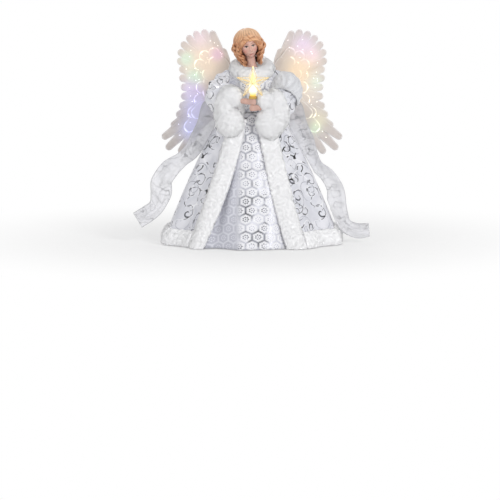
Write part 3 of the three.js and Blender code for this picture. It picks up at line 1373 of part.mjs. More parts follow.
for (let i = 0; i < CELL_COUNT; i++) place(boxFrame, "battery_" + (i + 1), cell(i), CELL_JACKET);
place(boxFrame, "box_screw_low", boxScrew(boxScrewHeights[0], 0), STEEL);
place(boxFrame, "box_screw_high", boxScrew(boxScrewHeights[1], 0), STEEL);

export default topper;
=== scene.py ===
# %% [markdown]
# # A lit angel topper
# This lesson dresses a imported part: a white cone that slips over an upright tip, with a doll, its gown,
# robe and wings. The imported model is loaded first. It fixes every size and place, so each piece that is
# made here only has to follow it.

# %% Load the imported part
import json
import math
import bpy
import numpy as np
from mathutils import Matrix, Vector


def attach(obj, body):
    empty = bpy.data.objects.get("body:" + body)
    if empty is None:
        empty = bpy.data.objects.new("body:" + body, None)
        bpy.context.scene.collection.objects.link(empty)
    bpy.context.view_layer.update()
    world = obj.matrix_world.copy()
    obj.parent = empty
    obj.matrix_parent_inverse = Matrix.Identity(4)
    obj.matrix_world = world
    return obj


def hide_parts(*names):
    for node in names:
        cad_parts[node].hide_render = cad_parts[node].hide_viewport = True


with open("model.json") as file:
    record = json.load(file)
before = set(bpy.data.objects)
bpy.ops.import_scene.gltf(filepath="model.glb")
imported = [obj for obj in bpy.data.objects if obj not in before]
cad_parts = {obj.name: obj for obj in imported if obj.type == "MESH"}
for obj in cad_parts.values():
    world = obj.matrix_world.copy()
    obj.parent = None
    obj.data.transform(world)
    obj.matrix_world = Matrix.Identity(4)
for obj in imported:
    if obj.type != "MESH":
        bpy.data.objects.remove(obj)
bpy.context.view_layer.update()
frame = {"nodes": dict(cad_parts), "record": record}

nodes = frame["nodes"]
scene = bpy.context.scene
scene.view_settings.view_transform = "Standard"
MM = 0.001
bpy.ops.object.select_all(action="DESELECT")

# %% [markdown]
# ## Camera
# A long lens far away keeps the figure's upright lines straight, as in a catalogue picture. The camera
# stands a little above the hem and looks down by seven degrees, so the front of the hem hangs lower in
# the picture than its sides. The aim and the width of the view come from that picture's scale.

# %% Camera
CAMERA_RISE = math.radians(7)
CAMERA_DISTANCE = 20.0
VIEW_WIDTH = 0.825
CAMERA_AIM = Vector((-0.0033, 0, -0.0139))
SENSOR = 36


def add_object(name, data):
    """A new object in the scene."""
    made = bpy.data.objects.new(name, data)
    scene.collection.objects.link(made)
    return made


camera_data = bpy.data.cameras.new("camera")
camera_data.sensor_width = SENSOR
camera_data.lens = SENSOR * CAMERA_DISTANCE / VIEW_WIDTH
camera = add_object("camera", camera_data)
back_and_up = Vector((0, -math.cos(CAMERA_RISE), math.sin(CAMERA_RISE)))
camera.location = CAMERA_AIM + CAMERA_DISTANCE * back_and_up
camera.rotation_euler = (math.pi / 2 - CAMERA_RISE, 0, 0)
scene.camera = camera
print("lens:", round(camera_data.lens), "mm")

# %% [markdown]
# ## A kit for finishes
# A finish is a small network of nodes that ends in one Principled shader. Written out link by link it
# gets long, so a few helpers put a node down, fill its sockets and hand back its result. Colours are
# given as on a paint chart, 0 to 255, and turned into the linear numbers that a shader reckons in.

# %% Helpers for finishes
def paint(red, green, blue):
    """A paint-chart colour in linear numbers."""
    parts = [value / 255 for value in (red, green, blue)]
    linear = [p / 12.92 if p <= 0.04045 else ((p + 0.055) / 1.055) ** 2.4 for p in parts]
    return (*linear, 1.0)


WHITE, BLACK = (1, 1, 1, 1), (0, 0, 0, 1)


def put(tree, kind, sockets, **settings):
    """A node with its settings made and its sockets filled or linked."""
    node = tree.nodes.new("ShaderNode" + kind)
    for name, value in settings.items():
        setattr(node, name, value)
    for key, value in sockets.items():
        if isinstance(value, bpy.types.NodeSocket):
            tree.links.new(value, node.inputs[key])
        else:
            node.inputs[key].default_value = value
    return node


def calc(tree, operation, *values):
    """A sum with plain numbers."""
    return put(tree, "Math", dict(enumerate(values)), operation=operation).outputs[0]


def vector(tree, operation, *values):
    """A sum with places, which gives a place or, for a length, a plain number."""
    node = put(tree, "VectorMath", dict(enumerate(values)), operation=operation)
    return node.outputs["Value" if operation in ("LENGTH", "DOT_PRODUCT") else "Vector"]


def rise(tree, value, low, high, most=1.0):
    """0 up to low, most from high on, and smooth between. With low over high it falls."""
    sockets = {"Value": value, "From Min": low, "From Max": high, "To Max": most}
    return put(tree, "MapRange", sockets, interpolation_type="SMOOTHSTEP").outputs["Result"]


def blend(tree, share, first, second):
    """The first colour where share is 0, the second where it is 1."""
    return put(tree, "Mix", {0: share, 6: first, 7: second}, data_type="RGBA").outputs[2]


def noise(tree, place, scale, detail=2.0, roughness=0.5):
    sockets = {"Vector": place, "Scale": scale, "Detail": detail, "Roughness": roughness}
    return put(tree, "TexNoise", sockets).outputs["Fac"]


def coordinates(tree, kind="Object"):
    return put(tree, "TexCoord", {}).outputs[kind]


def stored(tree, label, output="Fac"):
    """What a piece keeps at each of its points under a label."""
    return put(tree, "Attribute", {}, attribute_name=label).outputs[output]


def split(tree, place):
    """The three numbers of a place."""
    return put(tree, "SeparateXYZ", {0: place}).outputs


def angle_of(tree, place):
    """The angle of a place round the origin, in turns."""
    across, up = split(tree, place)[:2]
    return calc(tree, "DIVIDE", calc(tree, "ARCTAN2", up, across), 2 * math.pi)


def new_finish(name, **plain):
    """A material with its plain numbers set: the material, its nodes and its shader."""
    material = bpy.data.materials.new(name)
    material.use_nodes = True
    shader = material.node_tree.nodes["Principled BSDF"]
    for key, value in plain.items():
        shader.inputs[key.replace("_", " ")].default_value = value
    return material, material.node_tree, shader


def feed(tree, shader, **sockets):
    """Links results to the shader's sockets."""
    for key, value in sockets.items():
        tree.links.new(value, shader.inputs[key.replace("_", " ")])


def emboss(tree, shader, height, depth):
    """Raises the surface where height is high, by depth in metres."""
    bump = put(tree, "Bump", {"Height": height, "Distance": depth, "Strength": 1.0})
    feed(tree, shader, Normal=bump.outputs["Normal"])


print("half grey on the chart is", round(paint(128, 128, 128)[0], 3), "in linear numbers")

# %% [markdown]
# ## Floor, backdrop and light
# The figure stands on a white table in a white studio. The floor keeps its soft shadow near the figure and
# turns to plain white further out, so no edge of the table shows. Is Camera Ray, with the glossy and
# transmission rays, makes only what is looked at white and leaves the light on the figure at a plain
# level. A large lamp from the right gives form to all that white, and a weaker one fills the left.

# %% White surroundings
def seen_ray(tree):
    """1 for rays that look at a surface, directly or through glass and gloss."""
    path = put(tree, "LightPath", {})
    seen = calc(tree, "MAXIMUM", path.outputs["Is Camera Ray"], path.outputs["Is Glossy Ray"])
    return calc(tree, "MAXIMUM", seen, path.outputs["Is Transmission Ray"])


STUDIO_LIGHT = 0.56

world = bpy.data.worlds.new("white_studio")
scene.world = world
world.use_nodes = True
backdrop = world.node_tree.nodes["Background"]
strength = put(world.node_tree, "MapRange", {"Value": seen_ray(world.node_tree), "To Min": STUDIO_LIGHT})
backdrop.inputs["Color"].default_value = WHITE
world.node_tree.links.new(strength.outputs["Result"], backdrop.inputs["Strength"])

FLOOR_RADIUS, FLOOR_Z = 8, -0.0004
FLOOR_WHITE, SHADOW_NEAR, SHADOW_FAR = 0.35, 0.12, 0.60

bpy.ops.mesh.primitive_circle_add(vertices=96, radius=FLOOR_RADIUS, fill_type="NGON", location=(0, 0, FLOOR_Z))
floor = bpy.context.object
floor.name = "floor"

material, tree, shader = new_finish("table", Roughness=0.9, Base_Color=(0.9, 0.9, 0.9, 1))
white = put(tree, "Emission", {"Color": WHITE, "Strength": 1.0})
far = rise(tree, vector(tree, "LENGTH", coordinates(tree)), SHADOW_NEAR, SHADOW_FAR, 1 - FLOOR_WHITE)
share = calc(tree, "MULTIPLY", calc(tree, "ADD", far, FLOOR_WHITE), seen_ray(tree))
mixed = put(tree, "MixShader", {0: share, 1: shader.outputs[0], 2: white.outputs[0]})
tree.links.new(mixed.outputs[0], tree.nodes["Material Output"].inputs["Surface"])
floor.data.materials.append(material)


LAMP_TARGET = Vector((0, 0, 0.17))


def lamp(name, place, power, size):
    """A square lamp, turned towards the middle of the figure."""
    data = bpy.data.lights.new(name, "AREA")
    data.energy = power
    data.size = size
    light = add_object(name, data)
    light.location = place
    towards = LAMP_TARGET - light.location
    light.rotation_euler = towards.to_track_quat("-Z", "Y").to_euler()


lamp("key_lamp", (1.4, -2.0, 1.5), 27, 0.9)
lamp("fill_lamp", (-2.0, -1.6, 0.9), 8, 1.4)
lamp("back_lamp", (-0.6, 2.2, 1.6), 12, 1.2)

# %% [markdown]
# ## Finishes for the hidden works
# The cone, the socket, the wing bracket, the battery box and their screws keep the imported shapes. They
# still need a finish each, because the part is also looked at from below and behind. Moulded plastic has
# a faint grain and a little unevenness in its gloss, bent wire has drawing marks, and a circuit board has
# tracks. All read Object coordinates, so the grain has its real size.

# %% Moulded plastic, metal and board
def grained(name, colour, roughness, grain=900.0, metal=0.0, depth=0.00004):
    """An even finish with fine grain: colour, gloss and surface all waver a little."""
    material, tree, shader = new_finish(name, Metallic=metal)
    spot = coordinates(tree)
    cloud = noise(tree, spot, 35.0, 3.0)
    fine = noise(tree, spot, grain, 2.0)
    darker = tuple(0.82 * c for c in colour[:3]) + (1.0,)
    feed(tree, shader, Base_Color=blend(tree, rise(tree, cloud, 0.35, 0.7), colour, darker))
    uneven = put(tree, "MapRange", {"Value": fine, "To Min": roughness - 0.1, "To Max": roughness + 0.12})
    feed(tree, shader, Roughness=uneven.outputs["Result"])
    emboss(tree, shader, fine, depth)
    return material


def circuit_board(name):
    """Green lacquer over copper tracks that run square to each other."""
    material, tree, shader = new_finish(name, Roughness=0.35)
    spot = coordinates(tree)
    bricks = {"Vector": spot, "Scale": 260.0, "Mortar Size": 0.09, "Color1": paint(24, 92, 60)}
    bricks.update({"Color2": paint(30, 104, 66), "Mortar": paint(120, 150, 80)})
    tracks = put(tree, "TexBrick", bricks)
    feed(tree, shader, Base_Color=tracks.outputs["Color"])
    emboss(tree, shader, tracks.outputs["Fac"], 0.00005)
    return material


works = {
    "cone_plastic": grained("white_moulding", paint(244, 244, 240), 0.5),
    "body_plastic": grained("doll_moulding", paint(240, 239, 235), 0.5, grain=700.0),
    "steel": grained("zinc_plate", paint(176, 178, 182), 0.34, grain=1500.0, metal=1.0),
    "brass": grained("brass", paint(206, 170, 98), 0.3, grain=1200.0, metal=1.0),
    "board": circuit_board("circuit_board"),
    "black_plastic": grained("black_moulding", paint(34, 34, 36), 0.42),
    "cell_jacket": grained("cell_sleeve", paint(70, 74, 84), 0.3, grain=300.0),
    "lead_jacket": grained("lead_sleeve", paint(238, 238, 234), 0.55, grain=1200.0),
}
slot_of = {part["node"]: part["material_slot"] for part in frame["record"]["subparts"]}
for name, node in nodes.items():
    if slot_of[name] in works:
        for place in node.material_slots:
            place.material = works[slot_of[name]]
print("plain finishes on", sum(slot in works for slot in slot_of.values()), "nodes")

# %% [markdown]
# ## Meshes from rows of points
# Cloth has no primitive to start from. A skirt is a row of points round the waist, another a little
# lower, and so on down to the hem, with a face between each four neighbours. The same rows carry the
# cloth's flat pattern, in metres, as the UV map, so that a woven pattern keeps its size when the cloth
# flares. Solidify then gives the sheet its thickness.

# %% Rows of points to a sheet
def object_from(name, points, faces, uv=None):
    """A mesh object at the origin, from points in millimetres. uv has a pair for each face corner."""
    mesh = bpy.data.meshes.new(name)
    corners = faces.tolist() if isinstance(faces, np.ndarray) else faces
    mesh.from_pydata((np.asarray(points, float) * MM).tolist(), [], corners)
    if uv is not None:
        layer = mesh.uv_layers.new(name="flat_pattern")
        layer.data.foreach_set("uv", np.asarray(uv, np.float32).ravel())
    mesh.polygons.foreach_set("use_smooth", np.ones(len(mesh.polygons), bool))
    return add_object(name, mesh)


def write_points(piece, label, values, kind="FLOAT"):
    """Stores a value at each point of a piece, for its finish to read."""
    field = {"FLOAT": "value", "FLOAT_COLOR": "color", "FLOAT_VECTOR": "vector"}[kind]
    layer = piece.data.attributes.new(label, kind, "POINT")
    layer.data.foreach_set(field, np.asarray(values, np.float32).ravel())


def net(rows, columns, ring=False):
    """Faces between neighbouring points, as row and column numbers of their four corners."""
    i, j = np.meshgrid(np.arange(rows - 1), np.arange(columns if ring else columns - 1), indexing="ij")
    corners = [(i, j), (i + 1, j), (i + 1, j + 1), (i, j + 1)]
    return np.array([[row.ravel(), column.ravel()] for row, column in corners])


def change(piece, kind, **settings):
    """Adds a modifier and applies it."""
    modifier = piece.modifiers.new(kind.lower(), kind)
    for name, value in settings.items():
        setattr(modifier, name, value)
    bpy.context.view_layer.objects.active = piece
    bpy.ops.object.modifier_apply(modifier=modifier.name)


def sheet_from(name, grid, flat, thickness, ring=False):
    """A cloth of rows of points, top row first, left to right as seen from outside."""
    rows, columns = grid.shape[:2]
    row, column = net(rows, columns, ring).transpose(1, 2, 0)
    faces = row * columns + column % columns
    cloth = object_from(name, grid.reshape(-1, 3), faces, flat[row, column])
    cloth["area"] = sum(face.area for face in cloth.data.polygons)
    change(cloth, "SOLIDIFY", thickness=thickness * MM, offset=-1)
    return cloth


def finish_piece(piece, material, slot, body, *replaced):
    """Gives a piece its finish, and says which body it rides on and which solids it stands for."""
    piece.data.materials.clear()
    piece.data.materials.append(material)
    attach(piece, body)
    if replaced:
        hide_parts(*replaced)
    print(piece.name, len(piece.data.polygons), "faces")


# %% [markdown]
# ## The skirt's shape
# Gown and robe share one bell shape. Each height has an ellipse that widens from the waist to the hem,
# fastest just below the waist, and ten soft folds that deepen on the way down. The offset moves a point
# outwards, so the robe and its plush bands lie over the gown without touching it.

# %% Bell shape and its flat pattern
WAIST_Z, HEM_Z = 218.0, 1.0
WAIST_HALF = (35.0, 27.0)
HEM_HALF = (138.0, 138.0 * 0.79)
FLARE_POWER, FOLDS, FOLD_DEPTH, FORWARD = 0.73, 10, 6.0, 6.0
SLANT = 236.0
PATTERN_RADIUS = 79.0


def drop_at(z):
    """How far down the skirt a height lies: 0 at the waist, 1 at the hem."""
    return (WAIST_Z - z) / (WAIST_Z - HEM_Z)


def half_sizes(z):
    """Half the width and half the depth of the bell at a height."""
    flare = np.maximum(drop_at(z), 0) ** FLARE_POWER
    return [low + (high - low) * flare for low, high in zip(WAIST_HALF, HEM_HALF)]


def skirt(angle, z, offset):
    """Points of the skirt. Angle 0 is the front and grows towards the figure's left."""
    drop = drop_at(z)
    half_width, half_depth = half_sizes(z)
    out = offset + FOLD_DEPTH * drop * np.cos(FOLDS * angle)
    x = (half_width + out) * np.sin(angle)
    y = -(half_depth + out) * np.cos(angle) - FORWARD * drop
    return np.stack([x, y, z + 0 * x], -1)


def skirt_pattern(angle, z, middle=0.0):
    """Where a point of the skirt lies on the flat cloth, cut as part of a ring."""
    half_width, half_depth = half_sizes(z)
    radius = PATTERN_RADIUS + SLANT * drop_at(z)
    turn = (angle - middle) * (half_width + half_depth) / 2 / radius
    return np.stack([radius * np.sin(turn), -radius * np.cos(turn)], -1) * MM


print("hem:", 2 * HEM_HALF[0], "mm wide,", round(2 * HEM_HALF[1]), "mm deep")

# %% [markdown]
# ## Brocade with a honeycomb
# The gown is white brocade with a printed silver honeycomb: six-sided cells 18 mm wide, each with a rosette
# of dots, on a ground of tiny dots. The foil's reflection is painted into its colour: dark in patches near
# the middle and lower down, pale elsewhere, so the print is bold only there. The side pleat is painted
# darker and greyer, as painted shade. A honeycomb is two square-cornered lattices, one shifted by half a
# cell. A point belongs to whichever lattice has its nearer centre, and the distance to it, measured as a
# hexagon, draws the lines.

# %% Honeycomb finish
HONEYCOMB = 0.0178


def honeycomb(tree, flat, size):
    """Measures in the nearest cell: hexagon distance 0 to 0.5, round distance, and angle in turns."""
    spot = vector(tree, "MULTIPLY", flat, (1 / size, 1 / size, 0))
    step = (1.0, math.sqrt(3), 1.0)

    def to_centre(shift):
        moved = vector(tree, "DIVIDE", vector(tree, "ADD", spot, shift), step)
        share = vector(tree, "SUBTRACT", vector(tree, "FRACTION", moved), (0.5, 0.5, 0))
        return vector(tree, "MULTIPLY", share, (step[0], step[1], 0))

    first, second = to_centre((0, 0, 0)), to_centre((0.5, math.sqrt(3) / 2, 0))
    nearer = calc(tree, "LESS_THAN", vector(tree, "LENGTH", second), vector(tree, "LENGTH", first))
    local = put(tree, "Mix", {0: nearer, 4: first, 5: second}, data_type="VECTOR").outputs[1]
    slope = vector(tree, "DOT_PRODUCT", vector(tree, "ABSOLUTE", local), (0.5, math.sqrt(3) / 2, 0))
    hexagon = calc(tree, "MAXIMUM", calc(tree, "ABSOLUTE", split(tree, local)[0]), slope)
    return hexagon, vector(tree, "LENGTH", local), angle_of(tree, local)


def ring_of_dots(tree, distance, turns, count, radius, size):
    """1 inside the dots of a ring."""
    share = calc(tree, "FRACT", calc(tree, "ADD", calc(tree, "MULTIPLY", turns, count), 0.5))
    side = calc(tree, "MULTIPLY", calc(tree, "SUBTRACT", share, 0.5), 2 * math.pi * radius / count)
    ahead = calc(tree, "SUBTRACT", distance, radius)
    off = put(tree, "CombineXYZ", {0: side, 1: ahead}).outputs[0]
    return rise(tree, vector(tree, "LENGTH", off), size, size * 0.6)


def gloss(tree, foil, cloth, print_roughness):
    """Roughness of cloth and of the foil printed on it."""
    sockets = {"Value": foil, "To Min": cloth, "To Max": print_roughness}
    return put(tree, "MapRange", sockets).outputs["Result"]


def brocade_finish(name):
    """White cloth with the honeycomb in foil."""
    material, tree, shader = new_finish(name, Sheen_Weight=0.25, Sheen_Roughness=0.4)
    flat = coordinates(tree, "UV")
    hexagon, distance, turns = honeycomb(tree, flat, HONEYCOMB)
    outer_line = rise(tree, hexagon, 0.44, 0.455)
    inner_line = calc(tree, "COMPARE", hexagon, 0.405, 0.012)
    outline = calc(tree, "MAXIMUM", outer_line, inner_line)
    petals = ring_of_dots(tree, distance, turns, 7, 0.2, 0.085)
    inner = ring_of_dots(tree, distance, turns, 12, 0.33, 0.022)
    heart = rise(tree, distance, 0.07, 0.045)
    sideways, upwards = split(tree, flat)[:2]
    waver = calc(tree, "MULTIPLY", noise(tree, flat, 40.0, 1.0), 0.02)
    # Painted reflection: the foil is dark in patches near the middle and lower down, and pale elsewhere.
    from_middle = calc(tree, "ABSOLUTE", calc(tree, "ADD", sideways, -0.003))
    dark_reflection = rise(tree, calc(tree, "ADD", from_middle, waver), 0.04, 0.022)
    low = calc(tree, "ADD", rise(tree, upwards, -0.16, -0.24, 0.4), 0.6)
    reflection_patches = rise(tree, noise(tree, flat, 46.0, 2.0, 0.4), 0.43, 0.56, 0.85)
    dark_reflection = calc(tree, "MULTIPLY", calc(tree, "MULTIPLY", dark_reflection, low), calc(tree, "ADD", reflection_patches, 0.15))
    # Painted shade: the side pleat is made darker and greyer, as where it turns from the light.
    pleat_shade = rise(tree, sideways, -0.012, -0.026)
    foil = calc(tree, "MAXIMUM", outline, calc(tree, "MAXIMUM", petals, calc(tree, "MAXIMUM", inner, heart)))
    ground_dots = honeycomb(tree, flat, 0.0021)[1]
    speck = rise(tree, ground_dots, 0.3, 0.2, 0.35)
    # Painted reflection: the dark foil wavers between near black and mid grey.
    silver_reflection_noise = noise(tree, flat, 90.0, 2.0)
    silver = blend(tree, rise(tree, silver_reflection_noise, 0.35, 0.65), paint(52, 54, 64), paint(126, 128, 140))
    thin = blend(tree, pleat_shade, paint(200, 201, 211), paint(218, 219, 227))
    faint = blend(tree, dark_reflection, thin, silver)
    ground = blend(tree, pleat_shade, paint(247, 247, 250), paint(190, 191, 202))
    cloth = blend(tree, speck, ground, paint(212, 213, 222))
    feed(tree, shader, Base_Color=blend(tree, foil, cloth, faint))
    feed(tree, shader, Metallic=calc(tree, "MULTIPLY", foil, 0.2))
    feed(tree, shader, Roughness=gloss(tree, foil, 0.62, 0.34))
    thread = noise(tree, vector(tree, "MULTIPLY", flat, (3000.0, 900.0, 1.0)), 1.0, 1.0)
    emboss(tree, shader, calc(tree, "ADD", calc(tree, "MULTIPLY", thread, 0.2), foil), 0.00007)
    return material


brocade = brocade_finish("honeycomb_brocade")
print("honeycomb cell:", HONEYCOMB / MM, "mm")

# %% [markdown]
# ## The gown
# Under the robe the gown falls from the waist in soft pleats. Only its front shows, so the pleats there
# get more life: a broad flat pleat to one side of the middle and finer gathers near the waist. Both fade
# out under the robe, where there is no space for them. Cloth does not stretch, so the flat cut has the
# area of the finished skirt.

# %% Gown
PLEAT_EDGE, PLEAT_RISE, PLEAT_FALL = -0.16, 8.0, 20.0
GOWN_ROWS, GOWN_COLUMNS, GOWN_THICK = 62, 361, 1.0


def ramp(value, start, width):
    """0 up to start, 1 from start plus width on, straight between. With a width below 0 it falls."""
    return np.clip((value - start) / width, 0, 1)


def gown_offset(angle, z):
    """Extra pleats in the front, between the robe's edges."""
    drop = drop_at(z)
    shown = np.exp(-((angle / 0.52) ** 8))
    inner = PLEAT_RISE - PLEAT_FALL * ramp(angle, PLEAT_EDGE, -0.34)
    outer = PLEAT_RISE * (1 - ramp(angle, PLEAT_EDGE, 0.6))
    broad = np.where(angle < PLEAT_EDGE, inner, outer)
    level_out = FOLD_DEPTH * np.cos(FOLDS * angle)
    gathers = 0.7 * np.exp(-4 * drop) * np.cos(46 * angle + 3 * drop)
    ripple = 0.9 * drop * np.sin(19 * angle + 4 * drop)
    return shown * (drop * (broad - level_out) + gathers + ripple)


heights = np.linspace(WAIST_Z, HEM_Z, GOWN_ROWS)[:, None]
angles = np.linspace(-math.pi, math.pi, GOWN_COLUMNS)[None, :]
gown_grid = skirt(angles, heights, gown_offset(angles, heights))
gown_flat = skirt_pattern(angles, heights)
gown = sheet_from("gown", gown_grid[:, :-1], gown_flat, GOWN_THICK, ring=True)
finish_piece(gown, brocade, "gown_brocade", "figure", "gown_skirt")

# %% [markdown]
# ## Satin with foil scrolls
# The robe is pale grey satin printed with silver scrolls. The foil's light and shade are painted into its
# colour: near white as a painted highlight, black in patches as a painted reflection, and a grey painted
# shadow beside each stroke. Each scroll is a spiral about its own centre: Voronoi cells give scattered
# centres, the angle round a centre plus the distance from it gives the arms, and every other cell turns
# the other way. Thin vines join them, along the level lines of a smooth noise.

# %% Scroll finish
SCROLL, SLEEVE_SCROLL = 0.029, 0.019


def scrolls(tree, flat, size):
    """Spiral arms: the place within an arm, 0 to 1, and 1 where a cell of the print has its scroll."""
    spot = vector(tree, "MULTIPLY", flat, (1 / size, 1 / size, 0))
    sockets = {"Vector": spot, "Scale": 1.0, "Randomness": 0.6}
    cells = put(tree, "TexVoronoi", sockets, voronoi_dimensions="2D")
    local = vector(tree, "MULTIPLY", vector(tree, "SUBTRACT", spot, cells.outputs["Position"]), (1, 1, 0))
    distance = vector(tree, "LENGTH", local)
    chance = put(tree, "SeparateColor", {0: cells.outputs["Color"]})
    hand = calc(tree, "SUBTRACT", calc(tree, "MULTIPLY", calc(tree, "ROUND", chance.outputs[0]), 2), 1)
    start = calc(tree, "ADD", calc(tree, "MULTIPLY", angle_of(tree, local), hand), chance.outputs[1])
    arm = calc(tree, "FRACT", calc(tree, "SUBTRACT", start, calc(tree, "MULTIPLY", distance, 2.3)))
    inside = rise(tree, distance, 0.5, 0.46)
    return arm, calc(tree, "MULTIPLY", inside, chance.outputs[2])


def satin_finish(name, cloth, shade, amount, size):
    """Satin with scrolls. amount, 0 to 1, says how many cells of the print have one."""
    material, tree, shader = new_finish(name, Sheen_Weight=0.3, Sheen_Roughness=0.35)
    flat = coordinates(tree, "UV")
    drift = put(tree, "TexNoise", {"Vector": flat, "Scale": 50.0, "Detail": 1.0}).outputs["Color"]
    bent = vector(tree, "ADD", flat, vector(tree, "MULTIPLY", drift, (0.006, 0.006, 0)))
    arm, cell = scrolls(tree, bent, size)
    fine_arm, fine_cell = scrolls(tree, vector(tree, "ADD", bent, (0.013, 0.021, 0)), 1.5 * size)
    fine_stroke = calc(tree, "COMPARE", fine_arm, 0.5, 0.035)
    fine = calc(tree, "MULTIPLY", fine_stroke, rise(tree, fine_cell, 0.0, 0.1))
    printed = rise(tree, cell, 0.96 - amount, 1.0 - amount)
    stroke = calc(tree, "MULTIPLY", calc(tree, "COMPARE", arm, 0.5, 0.05), printed)
    shadow = calc(tree, "MULTIPLY", calc(tree, "COMPARE", arm, 0.61, 0.06), printed)
    level = calc(tree, "SUBTRACT", noise(tree, flat, 26.0, 1.0), 0.5)
    vine = rise(tree, calc(tree, "ABSOLUTE", level), 0.011, 0.006)
    foil = calc(tree, "MAXIMUM", stroke, vine)
    # Painted reflection and shadow: black foil in patches, and a grey painted shadow beside each stroke.
    painted_reflection_noise = noise(tree, flat, 75.0, 2.0)
    black = calc(tree, "MULTIPLY", foil, rise(tree, painted_reflection_noise, 0.51, 0.54))
    grey = calc(tree, "MULTIPLY", shadow, rise(tree, painted_reflection_noise, 0.28, 0.42))
    wander = noise(tree, flat, 45.0, 2.0)
    colour = blend(tree, rise(tree, wander, 0.3, 0.7), cloth, shade)
    colour = blend(tree, calc(tree, "MULTIPLY", fine, 0.75), colour, paint(146, 148, 158))
    colour = blend(tree, calc(tree, "MULTIPLY", grey, 0.85), colour, paint(86, 87, 97))
    # Painted highlight: the foil strokes are near white.
    colour = blend(tree, foil, colour, paint(242, 242, 246))
    feed(tree, shader, Base_Color=blend(tree, black, colour, paint(26, 26, 31)))
    feed(tree, shader, Metallic=calc(tree, "MULTIPLY", foil, 0.35))
    feed(tree, shader, Roughness=gloss(tree, foil, 0.5, 0.3))
    weave = noise(tree, vector(tree, "MULTIPLY", flat, (2600.0, 700.0, 1.0)), 1.0, 1.0)
    emboss(tree, shader, calc(tree, "ADD", calc(tree, "MULTIPLY", weave, 0.25), foil), 0.00012)
    return material


satin = satin_finish("scroll_satin", paint(233, 233, 239), paint(214, 215, 223), 0.9, SCROLL)
sleeve_cloth, sleeve_shade = paint(238, 238, 242), paint(218, 219, 226)
sleeve_satin = satin_finish("scroll_satin_sleeve", sleeve_cloth, sleeve_shade, 0.95, SLEEVE_SCROLL)
print("scroll:", round(SCROLL / MM), "mm across")

# %% [markdown]
# ## The robe
# The robe is three panels: two fronts that open in a V and a back between the side seams. Each panel is
# a sheet on the bell shape, a little outside the gown, and each has its own flat pattern so that the
# print stands upright on it.

# %% Robe panels
SEAM = math.radians(96)
EDGE_TOP = math.radians(8)
EDGE_HEM = {1: math.radians(23.5), -1: math.radians(32)}
CLOTH_THICK = 1.2
GAP_AT_WAIST, GAP_GROWTH, ROBE_THICK = 0.9, 5.1, 1.5


def robe_outer(z):
    """How far the robe's face lies outside the bell."""
    return GAP_AT_WAIST + GAP_GROWTH * drop_at(z) + ROBE_THICK


def edge_angle(side, z):
    """Where the edge of a front lies, from the middle of the figure's front."""
    return EDGE_TOP + (EDGE_HEM[side] - EDGE_TOP) * drop_at(z)


def robe_panel(name, first, last, columns, node):
    """A panel between two angles, which may change with the height."""
    panel_angles = first + (last - first) * np.linspace(0, 1, columns)[None, :]
    middle = float(np.mean(panel_angles[-1]))
    grid = skirt(panel_angles, heights, robe_outer(heights))
    flat = skirt_pattern(panel_angles, heights, middle)
    panel = sheet_from(name, grid, flat, CLOTH_THICK)
    finish_piece(panel, satin, "robe_satin", "figure", node)


robe_panel("robe_left", edge_angle(1, heights), SEAM + 0 * heights, 110, "robe_left_front")
robe_panel("robe_right", -SEAM + 0 * heights, -edge_angle(-1, heights), 110, "robe_right_front")
robe_panel("robe_behind", SEAM + 0 * heights, 2 * math.pi - SEAM + 0 * heights, 200, "robe_back")

# %% [markdown]
# ## The bodice
# Between the cuffs a little of the bodice shows. It is cut from the gown's brocade and fits the trunk
# like a vest, with small gathers at the waist seam. The trunk is a stack of ellipses, so the bodice is a
# sheet round them, one cloth thickness outside.

# %% Bodice
TRUNK_Z = [218.3, 246.0, 268.0, 281.0, 289.0]
TRUNK_HALF = ([35.0, 37.0, 42.0, 30.0, 17.0], [27.0, 28.0, 26.0, 21.0, 15.0])
TRUNK_ROUND = 34


def oblong(across, along):
    """The flat pattern of a plain strip, from a row of places across and a column along."""
    return np.stack([across + 0 * along, along + 0 * across], -1) * MM


def trunk(angle, z, offset):
    """Points round the trunk, moved outwards by offset."""
    half_width, half_depth = [np.interp(z, TRUNK_Z, half) + offset for half in TRUNK_HALF]
    return np.stack([half_width * np.sin(angle), -half_depth * np.cos(angle), z + 0 * angle], -1)


levels = np.linspace(TRUNK_Z[0], TRUNK_Z[-1], 40)[:, None]
round_trunk = np.linspace(-math.pi, math.pi, 181)[None, :]
gathers = 0.5 * np.exp(-(levels - TRUNK_Z[0]) / 9) * np.cos(40 * round_trunk)
vest_grid = trunk(round_trunk, levels, 1.7 + gathers)[::-1]
vest_flat = oblong(TRUNK_ROUND * round_trunk, levels)[::-1]
vest = sheet_from("vest", vest_grid[:, :-1], vest_flat, CLOTH_THICK, ring=True)
finish_piece(vest, brocade, "gown_brocade", "figure", "bodice")

# %% [markdown]
# ## Smooth curves and tubes
# Sleeves, streamers, locks of hair and light fibres all follow a line. A Catmull-Rom curve passes
# through the given points, and a tube is a row of rings along such a curve. Rounded ends come from radii
# that shrink to nothing.

# %% Curves and tubes
def run_along(path):
    """The length of a path up to each of its points."""
    return np.concatenate([[0], np.cumsum(np.linalg.norm(np.diff(path, axis=0), axis=1))])


